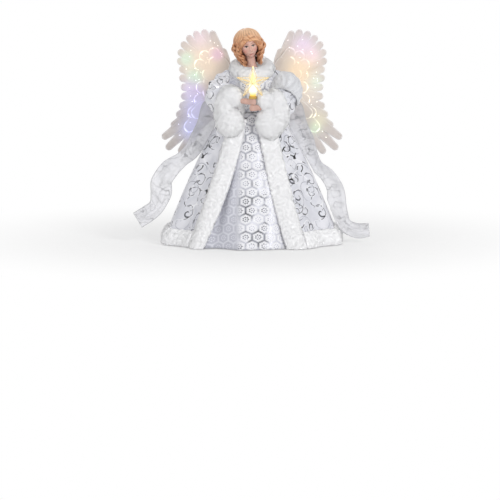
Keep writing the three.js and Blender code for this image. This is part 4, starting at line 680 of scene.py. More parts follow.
def through(points, count, even=True):
    """Points of a smooth curve through the given ones, evenly spaced or the same number in each span."""
    points = np.asarray(points, float)
    line = np.vstack([2 * points[0] - points[1], points, 2 * points[-1] - points[-2]])
    share = np.linspace(0, 1, 40, endpoint=False)[:, None]
    spans = []
    for a, b, c, d in zip(line, line[1:], line[2:], line[3:]):
        before, here, after = [max(np.linalg.norm(q - p), 1e-6) ** 0.5 for p, q in ((a, b), (b, c), (c, d))]
        leave = ((b - a) / before - (c - a) / (before + here) + (c - b) / here) * here
        arrive = ((c - b) / here - (d - b) / (here + after) + (d - c) / after) * here
        cubic = 2 * b - 2 * c + leave + arrive
        square = -3 * b + 3 * c - 2 * leave - arrive
        spans.append(b + leave * share + square * share**2 + cubic * share**3)
    dense = np.vstack(spans + [points[-1:]])
    run = run_along(dense) if even else np.arange(len(dense))
    wanted = np.linspace(0, run[-1], count)
    return np.stack([np.interp(wanted, run, dense[:, k]) for k in range(dense.shape[1])], -1)


def unit(vectors):
    """The same directions with length 1."""
    return vectors / np.maximum(np.linalg.norm(vectors, axis=-1, keepdims=True), 1e-9)


def tube(path, radii, sides):
    """Rings along a path: points, faces and a flat pattern. Its ends are closed."""
    path = np.asarray(path, float)
    tangent = unit(np.gradient(path, axis=0))
    guide = np.where(np.abs(tangent[:, 2:]) < 0.9, [[0, 0, 1.0]], [[0, 1.0, 0]])
    across = unit(np.cross(tangent, guide))
    up = np.cross(across, tangent)
    turn = np.linspace(0, 2 * math.pi, sides, endpoint=False)[None, :, None]
    radius = np.broadcast_to(radii, len(path))[:, None, None]
    ring = across[:, None] * np.cos(turn) + up[:, None] * np.sin(turn)
    points = (path[:, None] + radius * ring).reshape(-1, 3)
    row, column = net(len(path), sides, True).transpose(1, 2, 0)
    faces = (row * sides + column % sides)[:, ::-1].tolist()
    run = run_along(path)
    flat = np.stack([column / sides * 6, run[row]], -1)[:, ::-1].reshape(-1, 2) * MM
    faces += [list(range(sides)), list(range(len(points) - sides, len(points)))[::-1]]
    return points, faces, np.vstack([flat, np.zeros((2 * sides, 2))])


def gather(parts):
    """Several shapes as one."""
    points, faces, flats, count = [], [], [], 0
    for part_points, part_faces, flat in parts:
        faces += [[count + corner for corner in face] for face in part_faces]
        points.append(part_points)
        flats.append(flat)
        count += len(part_points)
    return np.vstack(points), faces, np.vstack(flats)


corner = through([(0, 0, 0), (1, 0, 0), (1, 1, 0)], 50)
print("a smooth line round a corner is", round(run_along(corner)[-1], 2), "long, a sharp one 2")

# %% [markdown]
# ## The sleeves
# The sleeves are wide bells. Each follows the bent arm from the shoulder over the elbow to a tall mouth
# that hangs upright. Rings along the arm give the tube. Where the sleeve rests on the skirt it is pushed
# out to the robe's face, and creases gather in the part between shoulder and cuff.

# %% Sleeves
SLEEVE_LINE = [(30, 2, 271), (42, 0, 268), (59, -24, 244)]
SLEEVE_MOUTH = {1: (30, -51, 213), -1: (31, -49, 221)}
SLEEVE_SHARES = [0.0, 0.5, 1.0]
SLEEVE_HALF = ([15.0, 16.5, 15.5], [15.0, 18.0, 33.0])
CUFF_START = 0.7


def sleeve_rings(side, shares, turn, grow):
    """Rings round the arm. shares run down the rows and turn round the columns."""
    line = np.array(SLEEVE_LINE + [SLEEVE_MOUTH[side]], float) * (side, 1, 1)
    path = through(line, 401)
    at = np.linspace(0, 1, 401)
    tangents = unit(np.gradient(path, axis=0))
    centre, tangent = [np.stack([np.interp(shares, at, c) for c in v.T], -1) for v in (path, tangents)]
    hang = ramp(shares, 0.5, 0.5)[:, None]
    up = unit(np.array([[0, 0, 1.0]]) - tangent * tangent[:, 2:] * (1 - hang))
    across = unit(np.cross(tangent, up))
    half_across, half_up = [np.interp(shares, SLEEVE_SHARES, half)[:, None] + grow for half in SLEEVE_HALF]
    sideways = across[:, None] * (half_across * np.cos(turn))[..., None]
    return centre[:, None] + sideways + up[:, None] * (half_up * np.sin(turn))[..., None]


def outside_robe(grid, clear):
    """Moves points that lie inside the robe out to its face."""
    z = np.minimum(grid[..., 2], WAIST_Z)
    half_width, half_depth = [half + robe_outer(z) + FOLD_DEPTH * drop_at(z) + clear for half in half_sizes(z)]
    x, y = grid[..., 0], grid[..., 1] + FORWARD * drop_at(z)
    reach = np.hypot(x / half_width, y / half_depth)
    push = np.where((reach < 1) & (grid[..., 2] < WAIST_Z), 1 / np.maximum(reach, 0.2), 1)
    return np.stack([x * push, y * push - FORWARD * drop_at(z), grid[..., 2]], -1)


SIDES = ((1, "left"), (-1, "right"))
SLEEVE_ROUND, SLEEVE_LENGTH = 17, 95
CREASE_START = {1: 0.47, -1: 0.06}

shares = np.linspace(0, 1, 90)
turn = np.linspace(0, 2 * math.pi, 85)[None, :]
down = shares[:, None]
for side, name in SIDES:
    loose = ramp(down, CREASE_START[side], 0.06) * ramp(down, CUFF_START, -0.06)
    creases = np.sin(34 * down + 2.2 * np.cos(turn)) + 0.7 * np.sin(7 * turn + 19 * down)
    grid = outside_robe(sleeve_rings(side, shares, turn, 1.6 * loose * creases), 0.4)
    flat = oblong(SLEEVE_ROUND * turn, -SLEEVE_LENGTH * down)
    arm = sheet_from("sleeve_" + name, grid[:, :-1], flat, CLOTH_THICK, ring=True)
    finish_piece(arm, sleeve_satin, "robe_satin", "figure", name + "_sleeve")

# %% [markdown]
# ## Sheer cloth
# The puff on the upper arm and the long streamer are organza: thin, stiff, half clear. Light passes
# between its threads, so the finish is part clear, with denser lines where the cloth is hemmed and fine
# curling lines woven into it. Crinkles come from a bump, because the real ones are too fine to model, and
# are darkened in the colour as painted shade. A faint glow is painted light for the light the cloth lets
# through.

# %% Organza finish
def organza_finish(name, thread, cover, curl_scale, curl_share):
    """Sheer cloth. cover is the part of the light that the plain cloth stops."""
    # Painted light: a faint glow for the light that passes through the cloth.
    painted_glow = {"Emission_Color": WHITE, "Emission_Strength": 0.05}
    material, tree, shader = new_finish(name, Roughness=0.55, Sheen_Weight=0.3, **painted_glow)
    flat = coordinates(tree, "UV")
    curl_level = calc(tree, "ABSOLUTE", calc(tree, "SUBTRACT", noise(tree, flat, curl_scale, 1.0), 0.5))
    curls = rise(tree, curl_level, 0.018, 0.007)
    edge = stored(tree, "edge")
    hem = rise(tree, edge, 0.9, 0.97)
    cloud = rise(tree, noise(tree, flat, 18.0, 3.0), 0.3, 0.7)
    lines = calc(tree, "MAXIMUM", calc(tree, "MULTIPLY", curls, curl_share), calc(tree, "MULTIPLY", hem, 0.6))
    darker = tuple(0.45 * c for c in thread[:3]) + (1.0,)
    crumple = noise(tree, vector(tree, "MULTIPLY", flat, (90.0, 40.0, 1.0)), 1.0, 3.0)
    # Painted shade: the crinkles are darkened in the colour.
    crinkle_shade = rise(tree, crumple, 0.4, 0.62, 0.28)
    feed(tree, shader, Base_Color=blend(tree, calc(tree, "MAXIMUM", lines, crinkle_shade), thread, darker))
    dense = calc(tree, "ADD", calc(tree, "MULTIPLY", cloud, 0.16), cover - 0.08)
    denser = calc(tree, "ADD", dense, calc(tree, "MULTIPLY", lines, 0.35))
    feed(tree, shader, Alpha=calc(tree, "MINIMUM", denser, 0.95))
    stretched = vector(tree, "MULTIPLY", flat, (60.0, 160.0, 1.0))
    emboss(tree, shader, noise(tree, stretched, 1.0, 4.0, 0.6), 0.0022)
    return material


def mark_edge(cloth, edge):
    """Writes how near each point is to the cloth's edge, 1 at the edge, for both faces of the cloth."""
    write_points(cloth, "edge", np.tile(edge.ravel(), 2)[: len(cloth.data.vertices)])


organza = organza_finish("organza", paint(236, 236, 240), 0.58, 60.0, 0.8)
puff_organza = organza_finish("puff_organza", paint(242, 243, 247), 0.75, 150.0, 0.8)
print("sheer cloths:", organza.name, puff_organza.name)

# %% [markdown]
# ## The sleeve puff
# One upper arm carries a puff of organza, gathered tight at both ends and full in the middle. It is the
# sleeve's own rings, grown by a half sine, with gathers that fade towards the middle.

# %% Puff
PUFF_START, PUFF_SHARE, PUFF_ROUND, PUFF_LENGTH = 0.13, 0.43, 24, 50
SHEER_THICK = 0.5

down = np.linspace(0, 1, 36)[:, None]
full = np.sin(math.pi * down)
swell = 1.6 + 8.5 * full**0.8
pleats = np.sin(13 * turn + 3 * down) + 0.8 * np.sin(23 * turn - 5 * down)
pleats = (pleats + 0.6 * np.sin(31 * turn + 9 * down)) * (0.4 + 0.45 * full)
puff_grid = sleeve_rings(1, PUFF_START + PUFF_SHARE * down[:, 0], turn, swell + pleats)
puff_flat = oblong(PUFF_ROUND * turn, -PUFF_LENGTH * down)
puff = sheet_from("puff", puff_grid[:, :-1], puff_flat, SHEER_THICK, ring=True)
mark_edge(puff, np.abs(2 * down - 1) + 0 * turn[:, :-1])
finish_piece(puff, puff_organza, "organza", "figure", "sleeve_puff")

# %% [markdown]
# ## The streamer
# One long organza scarf lies across the back of the waist. Both ends fall along the skirt's sides, swing
# out past the hem and end in a wave. Its middle line passes through a row of stations, each with the
# direction and half width of the cloth. The free ends get ruffled edges.

# %% Streamer
STREAMER_LEFT = [
    ((67, 14, 226), (0.8, -0.55, 0.2), 16), ((75, 15, 196), (0.9, -0.4, 0.1), 17),
    ((88, 13, 166), (0.85, -0.45, 0.3), 17), ((98, 11, 141), (0.65, -0.35, 0.65), 13.5),
    ((109, 8, 123), (0.5, -0.2, 0.85), 11), ((124, 4, 110), (0.75, 0, 0.65), 12),
    ((137, 0, 88), (0.97, 0, 0.25), 14), ((140, -3, 62), (0.97, 0.2, 0), 16),
    ((144, -5, 44), (0.8, 0.35, 0.4), 14.5), ((155, -7, 27), (0.35, 0.3, 0.85), 12.5),
    ((172, -8, 19.5), (-0.05, 0.1, 1), 12.5), ((193.5, -9, 21), (-0.2, 0, 1), 11.5),
]
STREAMER_RIGHT = [
    ((-67, 14, 226), (-0.8, -0.55, 0.2), 16), ((-75, 15, 196), (-0.9, -0.4, 0.1), 17),
    ((-88, 13, 170), (-0.85, -0.45, 0.3), 17), ((-100, 10, 150), (-0.6, -0.35, 0.7), 15),
    ((-116, 6, 136), (-0.35, -0.1, 0.92), 13), ((-136, 2, 120), (-0.75, 0, 0.65), 16),
    ((-149, -1, 100), (-1, 0, 0.15), 17.5), ((-150, -4, 80), (-0.97, 0.2, 0.1), 17.5),
    ((-156, -6, 61), (-0.8, 0.3, 0.5), 14), ((-171, -8, 48), (-0.6, 0.1, 0.8), 14),
    ((-189, -9, 37), (-0.55, 0, 0.85), 14),
]
BACK_Z, BACK_HALF = 207.0, 14.0
STREAMER_ROWS, STREAMER_COLUMNS, STREAMER_HALF = 420, 29, 14


def back_station(degrees):
    """The streamer lies on the robe behind, above its folds."""
    angle, low = math.radians(degrees), BACK_Z - BACK_HALF
    clear = robe_outer(low) + FOLD_DEPTH * drop_at(low) * (1 - math.cos(FOLDS * angle)) + 0.8
    place = skirt(np.array(angle), np.array(low), clear)
    return (place[0], place[1], BACK_Z), (0, 0, 1), BACK_HALF


stations = STREAMER_RIGHT[::-1] + [back_station(a) for a in (240, 210, 180, 150, 120)] + STREAMER_LEFT
table = np.array([[*place, *(unit(np.array(across)) * half)] for place, across, half in stations], float)
rows = through(table, STREAMER_ROWS, even=False)
middle_line, half_across = rows[:, :3], rows[:, 3:]
tangent = unit(np.gradient(middle_line, axis=0))
half_across = half_across - tangent * np.sum(half_across * tangent, 1, keepdims=True)
normal = unit(np.cross(tangent, half_across))
run = run_along(middle_line)[:, None]
place = np.linspace(-1, 1, STREAMER_COLUMNS)[None, :]
share = np.linspace(0, 1, STREAMER_ROWS)[:, None]
free = ramp(np.abs(2 * share - 1), 0.58, 0.25)
wave = 2 * np.abs(2 * share - 1) * np.cos(math.pi * (place + 1))
ruffle = 2.4 * free * place * np.abs(place) * np.sin(run / 7.5 + 1.3 * place)
folds = 1.1 * free * np.sin(3.2 * math.pi * place + run / 40)
lift = (wave + ruffle + folds)[..., None] * normal[:, None]
streamer_grid = middle_line[:, None] + half_across[:, None] * place[..., None] + lift
streamer_grid = outside_robe(streamer_grid, 0.8)
streamer_flat = oblong(STREAMER_HALF * place, -run)
streamer = sheet_from("streamer", streamer_grid, streamer_flat, SHEER_THICK)
mark_edge(streamer, np.abs(place) + 0 * share)
finish_piece(streamer, organza, "organza", "figure", "scarf")

# %% [markdown]
# ## Plush
# The collar, the cuffs and the bands down the fronts and round the hem are white plush: fine pile on a soft
# roll. Thin blades shaded one by one would sparkle, so every blade is shaded with the normal of the roll
# under it. A faint glow stands in for the light that white pile scatters within itself.

# %% Plush finish
from mathutils.bvhtree import BVHTree

painted_glow = {"Emission_Color": WHITE, "Emission_Strength": 0.15}
pile_look = {"Roughness": 0.9, "Sheen_Weight": 0.4, "Sheen_Roughness": 0.5}
plush_finish, tree, shader = new_finish("plush", **pile_look, **painted_glow)
tip = stored(tree, "tip")
patch = noise(tree, coordinates(tree), 130.0, 2.0)
ends = blend(tree, rise(tree, patch, 0.3, 0.7), paint(250, 250, 252), paint(255, 255, 255))
# Painted shade: the blades are a little darker at their roots, where the pile shades itself.
feed(tree, shader, Base_Color=blend(tree, tip, paint(248, 248, 250), ends))
soft = stored(tree, "soft_normal", "Vector")
to_world = {"vector_type": "NORMAL", "convert_from": "OBJECT", "convert_to": "WORLD"}
feed(tree, shader, Normal=put(tree, "VectorTransform", {"Vector": soft}, **to_world).outputs["Vector"])
plush_solids = [name for name, slot in slot_of.items() if slot == "plush"]
print("plush solids:", plush_solids)


# %% [markdown]
# ### The rolls under the pile
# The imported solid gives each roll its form. A voxel remesh makes its faces even, smoothing rounds them, and
# slow waves make it lumpy, as brushed plush is. The cuffs get two lobes more, because they hang full.

# %% Rolls
LOWEST_ROLL = 0.0008


def read_points(piece, field="co"):
    """The places of a piece's points, or their normals."""
    values = np.empty(len(piece.data.vertices) * 3, np.float32)
    piece.data.vertices.foreach_get(field, values)
    return values.reshape(-1, 3)


def ball_points(segments, rings):
    """A unit ball as a new mesh object, and its points."""
    bpy.ops.object.select_all(action="DESELECT")
    bpy.ops.mesh.primitive_uv_sphere_add(segments=segments, ring_count=rings, radius=1)
    ball = bpy.context.object
    bpy.ops.object.shade_smooth()
    return ball, read_points(ball).astype(float)


def choose(piece):
    """Selects one piece alone and makes it the active one."""
    bpy.ops.object.select_all(action="DESELECT")
    piece.select_set(True)
    bpy.context.view_layer.objects.active = piece


def join(piece, other):
    """Joins another object to a piece."""
    choose(piece)
    other.select_set(True)
    bpy.ops.object.join()


def drift(places):
    """Places pushed about by slow waves, so that lumps and tufts never line up in rows."""
    slow = 0.006 * np.sin(140 * places[:, [1, 2, 0]] + (0, 2, 4))
    return places + slow + 0.003 * np.sin(360 * places[:, [2, 0, 1]] + (1, 3, 5))


def core_of(name, node, voxel, lobes):
    """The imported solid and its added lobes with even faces, rounded edges and slow waves."""
    source = nodes[node]
    mesh = source.data.copy()
    mesh.transform(source.matrix_world)
    mesh.name = name
    core = add_object(name, mesh)
    change(core, "WELD", merge_threshold=0.00001)
    for centre, half in lobes:
        lobe = ball_points(32, 20)[0]
        lobe.data.transform(Matrix.LocRotScale(Vector(centre) * MM, None, Vector(half) * MM))
        join(core, lobe)
    change(core, "REMESH", mode="VOXEL", voxel_size=voxel * MM)
    change(core, "SMOOTH", factor=0.5, iterations=8)
    places, normals = read_points(core), read_points(core, "normal")
    moved = drift(places)
    lumps = 0.7 + 0.6 * np.sin(moved @ (410.0, 130.0, 90.0)) * np.sin(moved @ (-70.0, 330.0, 260.0))
    places = places + normals * (lumps[:, None] * MM)
    places[:, 2] = np.maximum(places[:, 2], LOWEST_ROLL)
    core.data.vertices.foreach_set("co", places.ravel())
    core.data.polygons.foreach_set("use_smooth", np.ones(len(core.data.polygons), bool))
    return core


# %% [markdown]
# ### The pile
# Tens of thousands of bent blades grow from scattered points of a roll, but not into the solids beside it.
# Blades near each other lean the same way, because plush forms tufts. A blade is three triangles.

# %% Blades
BLADE_HALF_WIDTH, LOWEST_BLADE = 0.17, 0.0006
TUFT_WAVES = np.array([[700, -250, 300], [310, 640, -200], [-260, 330, 690.0]])


def obstacles(names):
    """What the blades must not grow into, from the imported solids."""
    points, faces = [], []
    for name in names:
        matrix, mesh = nodes[name].matrix_world, nodes[name].data
        faces += [[len(points) + corner for corner in face.vertices] for face in mesh.polygons]
        points += [matrix @ vertex.co for vertex in mesh.vertices]
    return BVHTree.FromPolygons(points, faces)


def roots_on(core, count, chance):
    """Evenly scattered points of the surface, with its normals there."""
    mesh = core.data
    mesh.calc_loop_triangles()
    corners = np.empty(len(mesh.loop_triangles) * 3, np.int32)
    areas = np.empty(len(mesh.loop_triangles), np.float32)
    mesh.loop_triangles.foreach_get("vertices", corners)
    mesh.loop_triangles.foreach_get("area", areas)
    corners = corners.reshape(-1, 3)[chance.choice(len(areas), count, p=areas / areas.sum(dtype=float))]
    weights = chance.dirichlet((1, 1, 1), count)[..., None]
    return [(weights * read_points(core, field)[corners]).sum(1) for field in ("co", "normal")]


def strands(core, count, length, against, seed):
    """Grows bent blades on a core and joins them to it."""
    chance = np.random.default_rng(seed)
    root, normal = roots_on(core, count, chance)
    solids, reach = obstacles(against), 0.9 * length * MM
    starts = zip(root + normal * 0.0005, normal)
    open_to = [solids.ray_cast(Vector(start), Vector(away), reach)[0] is None for start, away in starts]
    root, normal = root[open_to], unit(normal[open_to])
    tuft = np.sin(drift(root) @ TUFT_WAVES.T + [0, 2, 4])
    lean = 0.6 * tuft + chance.normal(0, 0.45, root.shape) + (0, 0, -0.3)
    lean -= normal * np.sum(lean * normal, 1, keepdims=True)
    size = length * MM * chance.uniform(0.55, 1.0, (len(root), 1))
    side = BLADE_HALF_WIDTH * MM * unit(np.cross(lean, normal))
    foot = root - normal * (0.5 * MM)
    bend = root + unit(normal + 0.9 * lean) * size / 2
    end = bend + unit(normal + 2.0 * lean) * size / 2
    points = np.stack([foot - side, foot + side, bend + side, bend - side, end], 1)
    points[..., 2] = np.maximum(points[..., 2], LOWEST_BLADE)
    faces = 5 * np.arange(len(root))[:, None, None] + np.array([[0, 1, 2], [0, 2, 3], [3, 2, 4]])
    pile = object_from("pile", points.reshape(-1, 3) / MM, faces.reshape(-1, 3))
    write_points(pile, "tip", np.tile([0, 0, 0.5, 0.5, 1.0], len(root)))
    core.data.attributes.new("tip", "FLOAT", "POINT")
    own = read_points(core, "normal")
    join(core, pile)
    soft = np.vstack([own, np.repeat(normal, 5, axis=0)])
    write_points(core, "soft_normal", soft, "FLOAT_VECTOR")
    core.data.normals_split_custom_set_from_vertices(soft.tolist())


print("a blade is", 2 * BLADE_HALF_WIDTH, "mm wide")

# %% [markdown]
# ### Six plush pieces
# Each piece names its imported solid, the number of its blades and their length in millimetres. The first
# list says which neighbours its blades must not grow into.

# %% Plush pieces
UNDER_PLUSH = {
    "collar": ["bodice", "torso", "left_sleeve", "right_sleeve", "head"],
    "left_cuff": ["left_sleeve", "robe_left_front"], "right_cuff": ["right_sleeve", "robe_right_front"],
    "left_front_trim": ["robe_left_front", "gown_skirt"],
    "right_front_trim": ["robe_right_front", "gown_skirt"],
    "hem_trim": ["robe_left_front", "robe_right_front", "robe_back"],
}
CUFF_LOBES = {
    "left_cuff": [((28, -57, 203), (21, 15, 25)), ((22, -57, 240), (14.5, 13, 15))],
    "right_cuff": [((-36, -55, 204), (22, 14, 24)), ((-33, -54, 246), (18, 13, 17))],
}
PLUSH = [
    ("collar_plush", "collar", 38000, 2.8), ("cuff_left", "left_cuff", 38000, 3.2),
    ("cuff_right", "right_cuff", 38000, 3.2), ("band_left", "left_front_trim", 30000, 2.6),
    ("band_right", "right_front_trim", 30000, 2.6), ("band_hem", "hem_trim", 46000, 2.6),
]
for number, (name, node, count, length) in enumerate(PLUSH):
    core = core_of(name, node, 1.8, CUFF_LOBES.get(node, []))
    strands(core, count, length, UNDER_PLUSH[node], number)
    finish_piece(core, plush_finish, "plush", "figure", node)

# %% [markdown]
# ## Painted resin
# Face, neck and hands are cast resin with a matt skin colour. The face is painted by hand after casting:
# eyes, brows, lips and a little blush. The paint is drawn in the finish. The flat pattern of the face is
# its front view in millimetres, so an eye is an ellipse: its centre and its half sizes. Each layer of
# paint goes over the ones before it, where its mask lets it.

# %% Skin finish
FACE_VIEW = 50.0
BLUSH, LID = ((8.6, -9.0), (6.0, 5.0)), ((5.8, -1.2), (3.9, 2.6))
EYE, IRIS = ((5.8, -2.2), (2.6, 1.35)), ((5.7, -2.1), (1.75, 1.75))
BROW, LIPS = ((6.2, -1.4), (5.0, 4.2)), ((0.0, -15.9), (4.4, 1.2))


def ellipse(tree, spot, centre, half):
    """Distance from the centre, 1 on the ellipse."""
    off = vector(tree, "SUBTRACT", spot, (*centre, 0))
    return vector(tree, "LENGTH", vector(tree, "DIVIDE", off, (*half, 1)))


def skin_finish(name):
    """Resin in a skin colour, with the face painted on."""
    under_skin = {"Subsurface_Weight": 0.12, "Subsurface_Radius": (0.003, 0.0012, 0.0008)}
    material, tree, shader = new_finish(name, Roughness=0.42, **under_skin)
    front = vector(tree, "MULTIPLY", coordinates(tree, "UV"), (FACE_VIEW, FACE_VIEW, 0))
    spot = vector(tree, "SUBTRACT", front, (FACE_VIEW / 2, FACE_VIEW / 2, 0))
    folded = vector(tree, "MULTIPLY", vector(tree, "ABSOLUTE", spot), (1, 0, 0))
    both = vector(tree, "ADD", folded, vector(tree, "MULTIPLY", spot, (0, 1, 0)))
    across, height = split(tree, spot)[:2]
    blush = rise(tree, ellipse(tree, both, *BLUSH), 1.0, 0.1, 0.45)
    lid = rise(tree, ellipse(tree, both, *LID), 1.0, 0.5, 0.25)
    eye = ellipse(tree, both, *EYE)
    inside = rise(tree, eye, 1.02, 0.94)
    iris = ellipse(tree, both, *IRIS)
    dark = calc(tree, "MULTIPLY", rise(tree, iris, 1, 0.86), inside)
    pupil = calc(tree, "MULTIPLY", rise(tree, iris, 0.5, 0.4), inside)
    rim = calc(tree, "ABSOLUTE", calc(tree, "SUBTRACT", eye, 1.05))
    lash = calc(tree, "MULTIPLY", rise(tree, rim, 0.36, 0.24), rise(tree, height, -2.6, -1.8))
    arch = calc(tree, "ABSOLUTE", calc(tree, "SUBTRACT", ellipse(tree, both, *BROW), 1.0))
    brow = calc(tree, "MULTIPLY", rise(tree, arch, 0.13, 0.07, 0.75), rise(tree, height, 0.9, 1.7))
    lift = calc(tree, "MULTIPLY", calc(tree, "MULTIPLY", across, across), 0.1)
    smile = vector(tree, "SUBTRACT", both, put(tree, "CombineXYZ", {1: lift}).outputs[0])
    lips = ellipse(tree, smile, *LIPS)
    mouth = calc(tree, "MULTIPLY", rise(tree, lips, 1.0, 0.8), 0.6)
    seam = calc(tree, "ABSOLUTE", calc(tree, "ADD", calc(tree, "SUBTRACT", height, lift), 15.8))
    line = calc(tree, "MULTIPLY", rise(tree, seam, 0.24, 0.1, 0.7), rise(tree, lips, 1.0, 0.9))
    mottle = rise(tree, noise(tree, coordinates(tree), 160.0, 3.0), 0.3, 0.75)
    colour = blend(tree, mottle, paint(222, 182, 168), paint(210, 168, 155))
    layers = [
        (blush, (222, 138, 126)), (lid, (176, 122, 108)), (rise(tree, eye, 1.0, 0.9), (214, 204, 198)),
        (dark, (40, 31, 29)), (pupil, (22, 18, 18)), (lash, (64, 40, 32)), (brow, (150, 92, 62)),
        (mouth, (188, 104, 98)), (line, (112, 44, 44)),
    ]
    for mask, tint in layers:
        colour = blend(tree, mask, colour, paint(*tint))
    feed(tree, shader, Base_Color=colour)
    emboss(tree, shader, noise(tree, coordinates(tree), 1400.0, 2.0), 0.00003)
    return material


skin = skin_finish("painted_resin")
print("skin:", skin.name)

# %% [markdown]
# ## The face
# A sphere is a good start for a head. It is stretched to an egg, the lower front is filled out for jaw and
# chin, and soft swellings and hollows do the rest: sockets, eyeballs, bridge and tip of the nose, lips.
# Each is a bell-shaped push along the front of the face. The face stays plain and calm, a doll's face.

# %% Face and neck
HEAD_PLACE = Matrix.Translation((-6, -5, 328)) @ Matrix.Rotation(math.radians(-11), 4, "Y")
HEAD_PLACE = HEAD_PLACE @ Matrix.Rotation(math.radians(8), 4, "Z")
FACE_HALF = (16.0, 17.0, 21.2)
# Centre in the front view, spread and push: sockets, eyeballs and brows, then bridge, tip and wings of the
# nose, then the lips and the line between them, then chin and cheeks.
FEATURES = [
    ((5.8, -1.4), (4.2, 2.8), -2.3), ((5.8, -2.1), (2.6, 1.6), 1.2), ((6.0, 3.0), (5.0, 1.8), 0.5),
    ((0.0, -4.0), (1.8, 4.2), 2.4), ((0.0, -9.2), (2.1, 1.9), 3.1), ((2.2, -9.9), (1.2, 1.1), 0.9),
    ((1.4, -14.3), (2.3, 0.9), 0.9), ((0.0, -16.7), (2.8, 1.0), 1.1), ((0.0, -15.3), (3.8, 0.5), -0.7),
    ((0.0, -19.6), (3.8, 2.4), 1.2), ((8.5, -9.5), (4.5, 4.5), 0.7),
]


def to_head(points):
    """From the head's own place, facing forwards, to where it is in the part."""
    turn = np.array(HEAD_PLACE)
    return np.asarray(points, float) @ turn[:3, :3].T + turn[:3, 3]


def set_points(piece, points):
    """Moves the points of a piece to places in millimetres."""
    piece.data.vertices.foreach_set("co", (points * MM).astype(np.float32).ravel())
    piece.data.update()


def set_pattern(piece, flat):
    """Gives each face corner the flat place of its point."""
    corners = np.empty(len(piece.data.loops), np.int32)
    piece.data.loops.foreach_get("vertex_index", corners)
    piece.data.uv_layers.active.data.foreach_set("uv", flat[corners].astype(np.float32).ravel())


face, egg = ball_points(220, 150)
low = np.clip(-egg[:, 2], 0, 1)
fuller = (1 - low**3 + 1e-6) ** (1 / 3) / np.sqrt(1 - low**2 + 1e-6)
shape = egg * FACE_HALF
shape[:, 1] *= np.where(egg[:, 1] < 0, fuller, 1)
shape[:, 0] *= 1 - 0.2 * low**1.5
shape[:, 2] *= 1 + 0.1 * ramp(low, 0.7, 0.3)
shape *= 1 - 0.08 * ramp(egg[:, 2:], 0.3, 0.2)
front = ramp(-egg[:, 1], 0, 0.35)
level = egg[:, 2] * FACE_HALF[2]
for centre, spread, push in FEATURES:
    off = (np.stack([np.abs(shape[:, 0]), level], 1) - centre) / spread
    shape[:, 1] -= push * front * np.exp(-np.sum(off**2, 1))
view = np.stack([shape[:, 0], level], 1) / FACE_VIEW + 0.5
view[egg[:, 1] > 0] = 0.02
set_pattern(face, view)
set_points(face, to_head(shape))
face.name = "face"

neck_line = through([(0, -2.5, 284), (-2, -3.6, 301), (-6, -4.2, 319)], 24)
neck_radii = np.interp(np.arange(24), [0, 8, 23], [11.0, 8.2, 7.6])
neck_points, neck_faces, neck_flat = tube(neck_line, neck_radii, 48)
neck = object_from("neck", neck_points, neck_faces, neck_flat * 0)
neck.data.uv_layers[0].name = face.data.uv_layers[0].name
join(face, neck)
finish_piece(face, skin, "skin_resin", "figure", "head")

# %% [markdown]
# ## Hair
# The hair is cast with the head and painted copper. A second ball makes the cap: it is hollowed where the
# face looks out and rolls up round it, and combed with grooves that fall from the crown all round. The
# copper is lighter on the crown as painted light, and darker in the grooves and lower down as painted shade.

# %% Hair finish and cap
CAP_HALF, CAP_BACK, CAP_RISE = np.array((23.5, 22.0, 23.5)), 6.0, 3.0
OPENING_CENTRE, OPENING_HALF = np.array((0.0, -8.5)), np.array((15.0, 14.4))

hair_finish, tree, shader = new_finish("copper_hair", Roughness=0.34)
combed = vector(tree, "MULTIPLY", coordinates(tree, "UV"), (900.0, 60.0, 1.0))
lock = noise(tree, combed, 1.0, 3.0, 0.6)
depth = stored(tree, "depth")
copper = blend(tree, rise(tree, lock, 0.3, 0.72), paint(206, 136, 92), paint(250, 204, 158))
height = split(tree, coordinates(tree))[2]
# Painted light: the crown is made lighter. Painted shade: the hair lower down is made darker.
copper = blend(tree, rise(tree, height, 0.337, 0.349, 0.55), copper, paint(255, 218, 180))
copper = blend(tree, rise(tree, height, 0.340, 0.322, 0.34), copper, paint(150, 80, 50))
# Painted shade: the deep points, stored as depth, are darkened.
feed(tree, shader, Base_Color=blend(tree, depth, copper, paint(100, 42, 24)))
emboss(tree, shader, lock, 0.0005)


def cap_front(x, z):
    """How far forward the cap reaches."""
    inside = 1 - (x / CAP_HALF[0]) ** 2 - ((z - CAP_RISE) / CAP_HALF[2]) ** 2
    return CAP_BACK - CAP_HALF[1] * np.sqrt(np.maximum(inside, 0))


cap, dome = ball_points(200, 140)
x, y, z = (dome * CAP_HALF + (0, CAP_BACK, CAP_RISE)).T
azimuth = np.arctan2(x, CAP_BACK - y)
comb = CAP_HALF[1] * azimuth + 1.3 * np.sin(0.42 * z + 3 * azimuth)
groove = 0.55 * np.sin(comb * 2 * math.pi / 6.3) + 0.3 * np.sin(comb * 2 * math.pi / 2.5 + 0.3 * z)
groove *= ramp(np.hypot(x, y - CAP_BACK), 0, 16) * (0.6 + 0.4 * ramp(z, 10, -10))
ring = np.hypot((x - OPENING_CENTRE[0]) / OPENING_HALF[0], (z - OPENING_CENTRE[1]) / OPENING_HALF[1])
ahead = ramp(y, 2, -6)
roll = 2.4 * np.exp(-(((ring - 1.16) / 0.17) ** 2)) * ahead * ramp(z, 8, -8)
hollow = ramp(ring, 1.04, -0.1) * ahead
shape = np.stack([x, y, z], 1) + dome * (groove + roll)[:, None]
shape[:, 1] += hollow * 12
set_pattern(cap, np.stack([comb, -z], 1) * MM)
# Painted shade: the cap is darker in its grooves.
write_points(cap, "depth", np.clip(0.12 - 0.55 * groove, 0, 0.8))
set_points(cap, to_head(shape))
cap.name = "hair_cap"
finish_piece(cap, hair_finish, "skin_resin", "figure", "head")

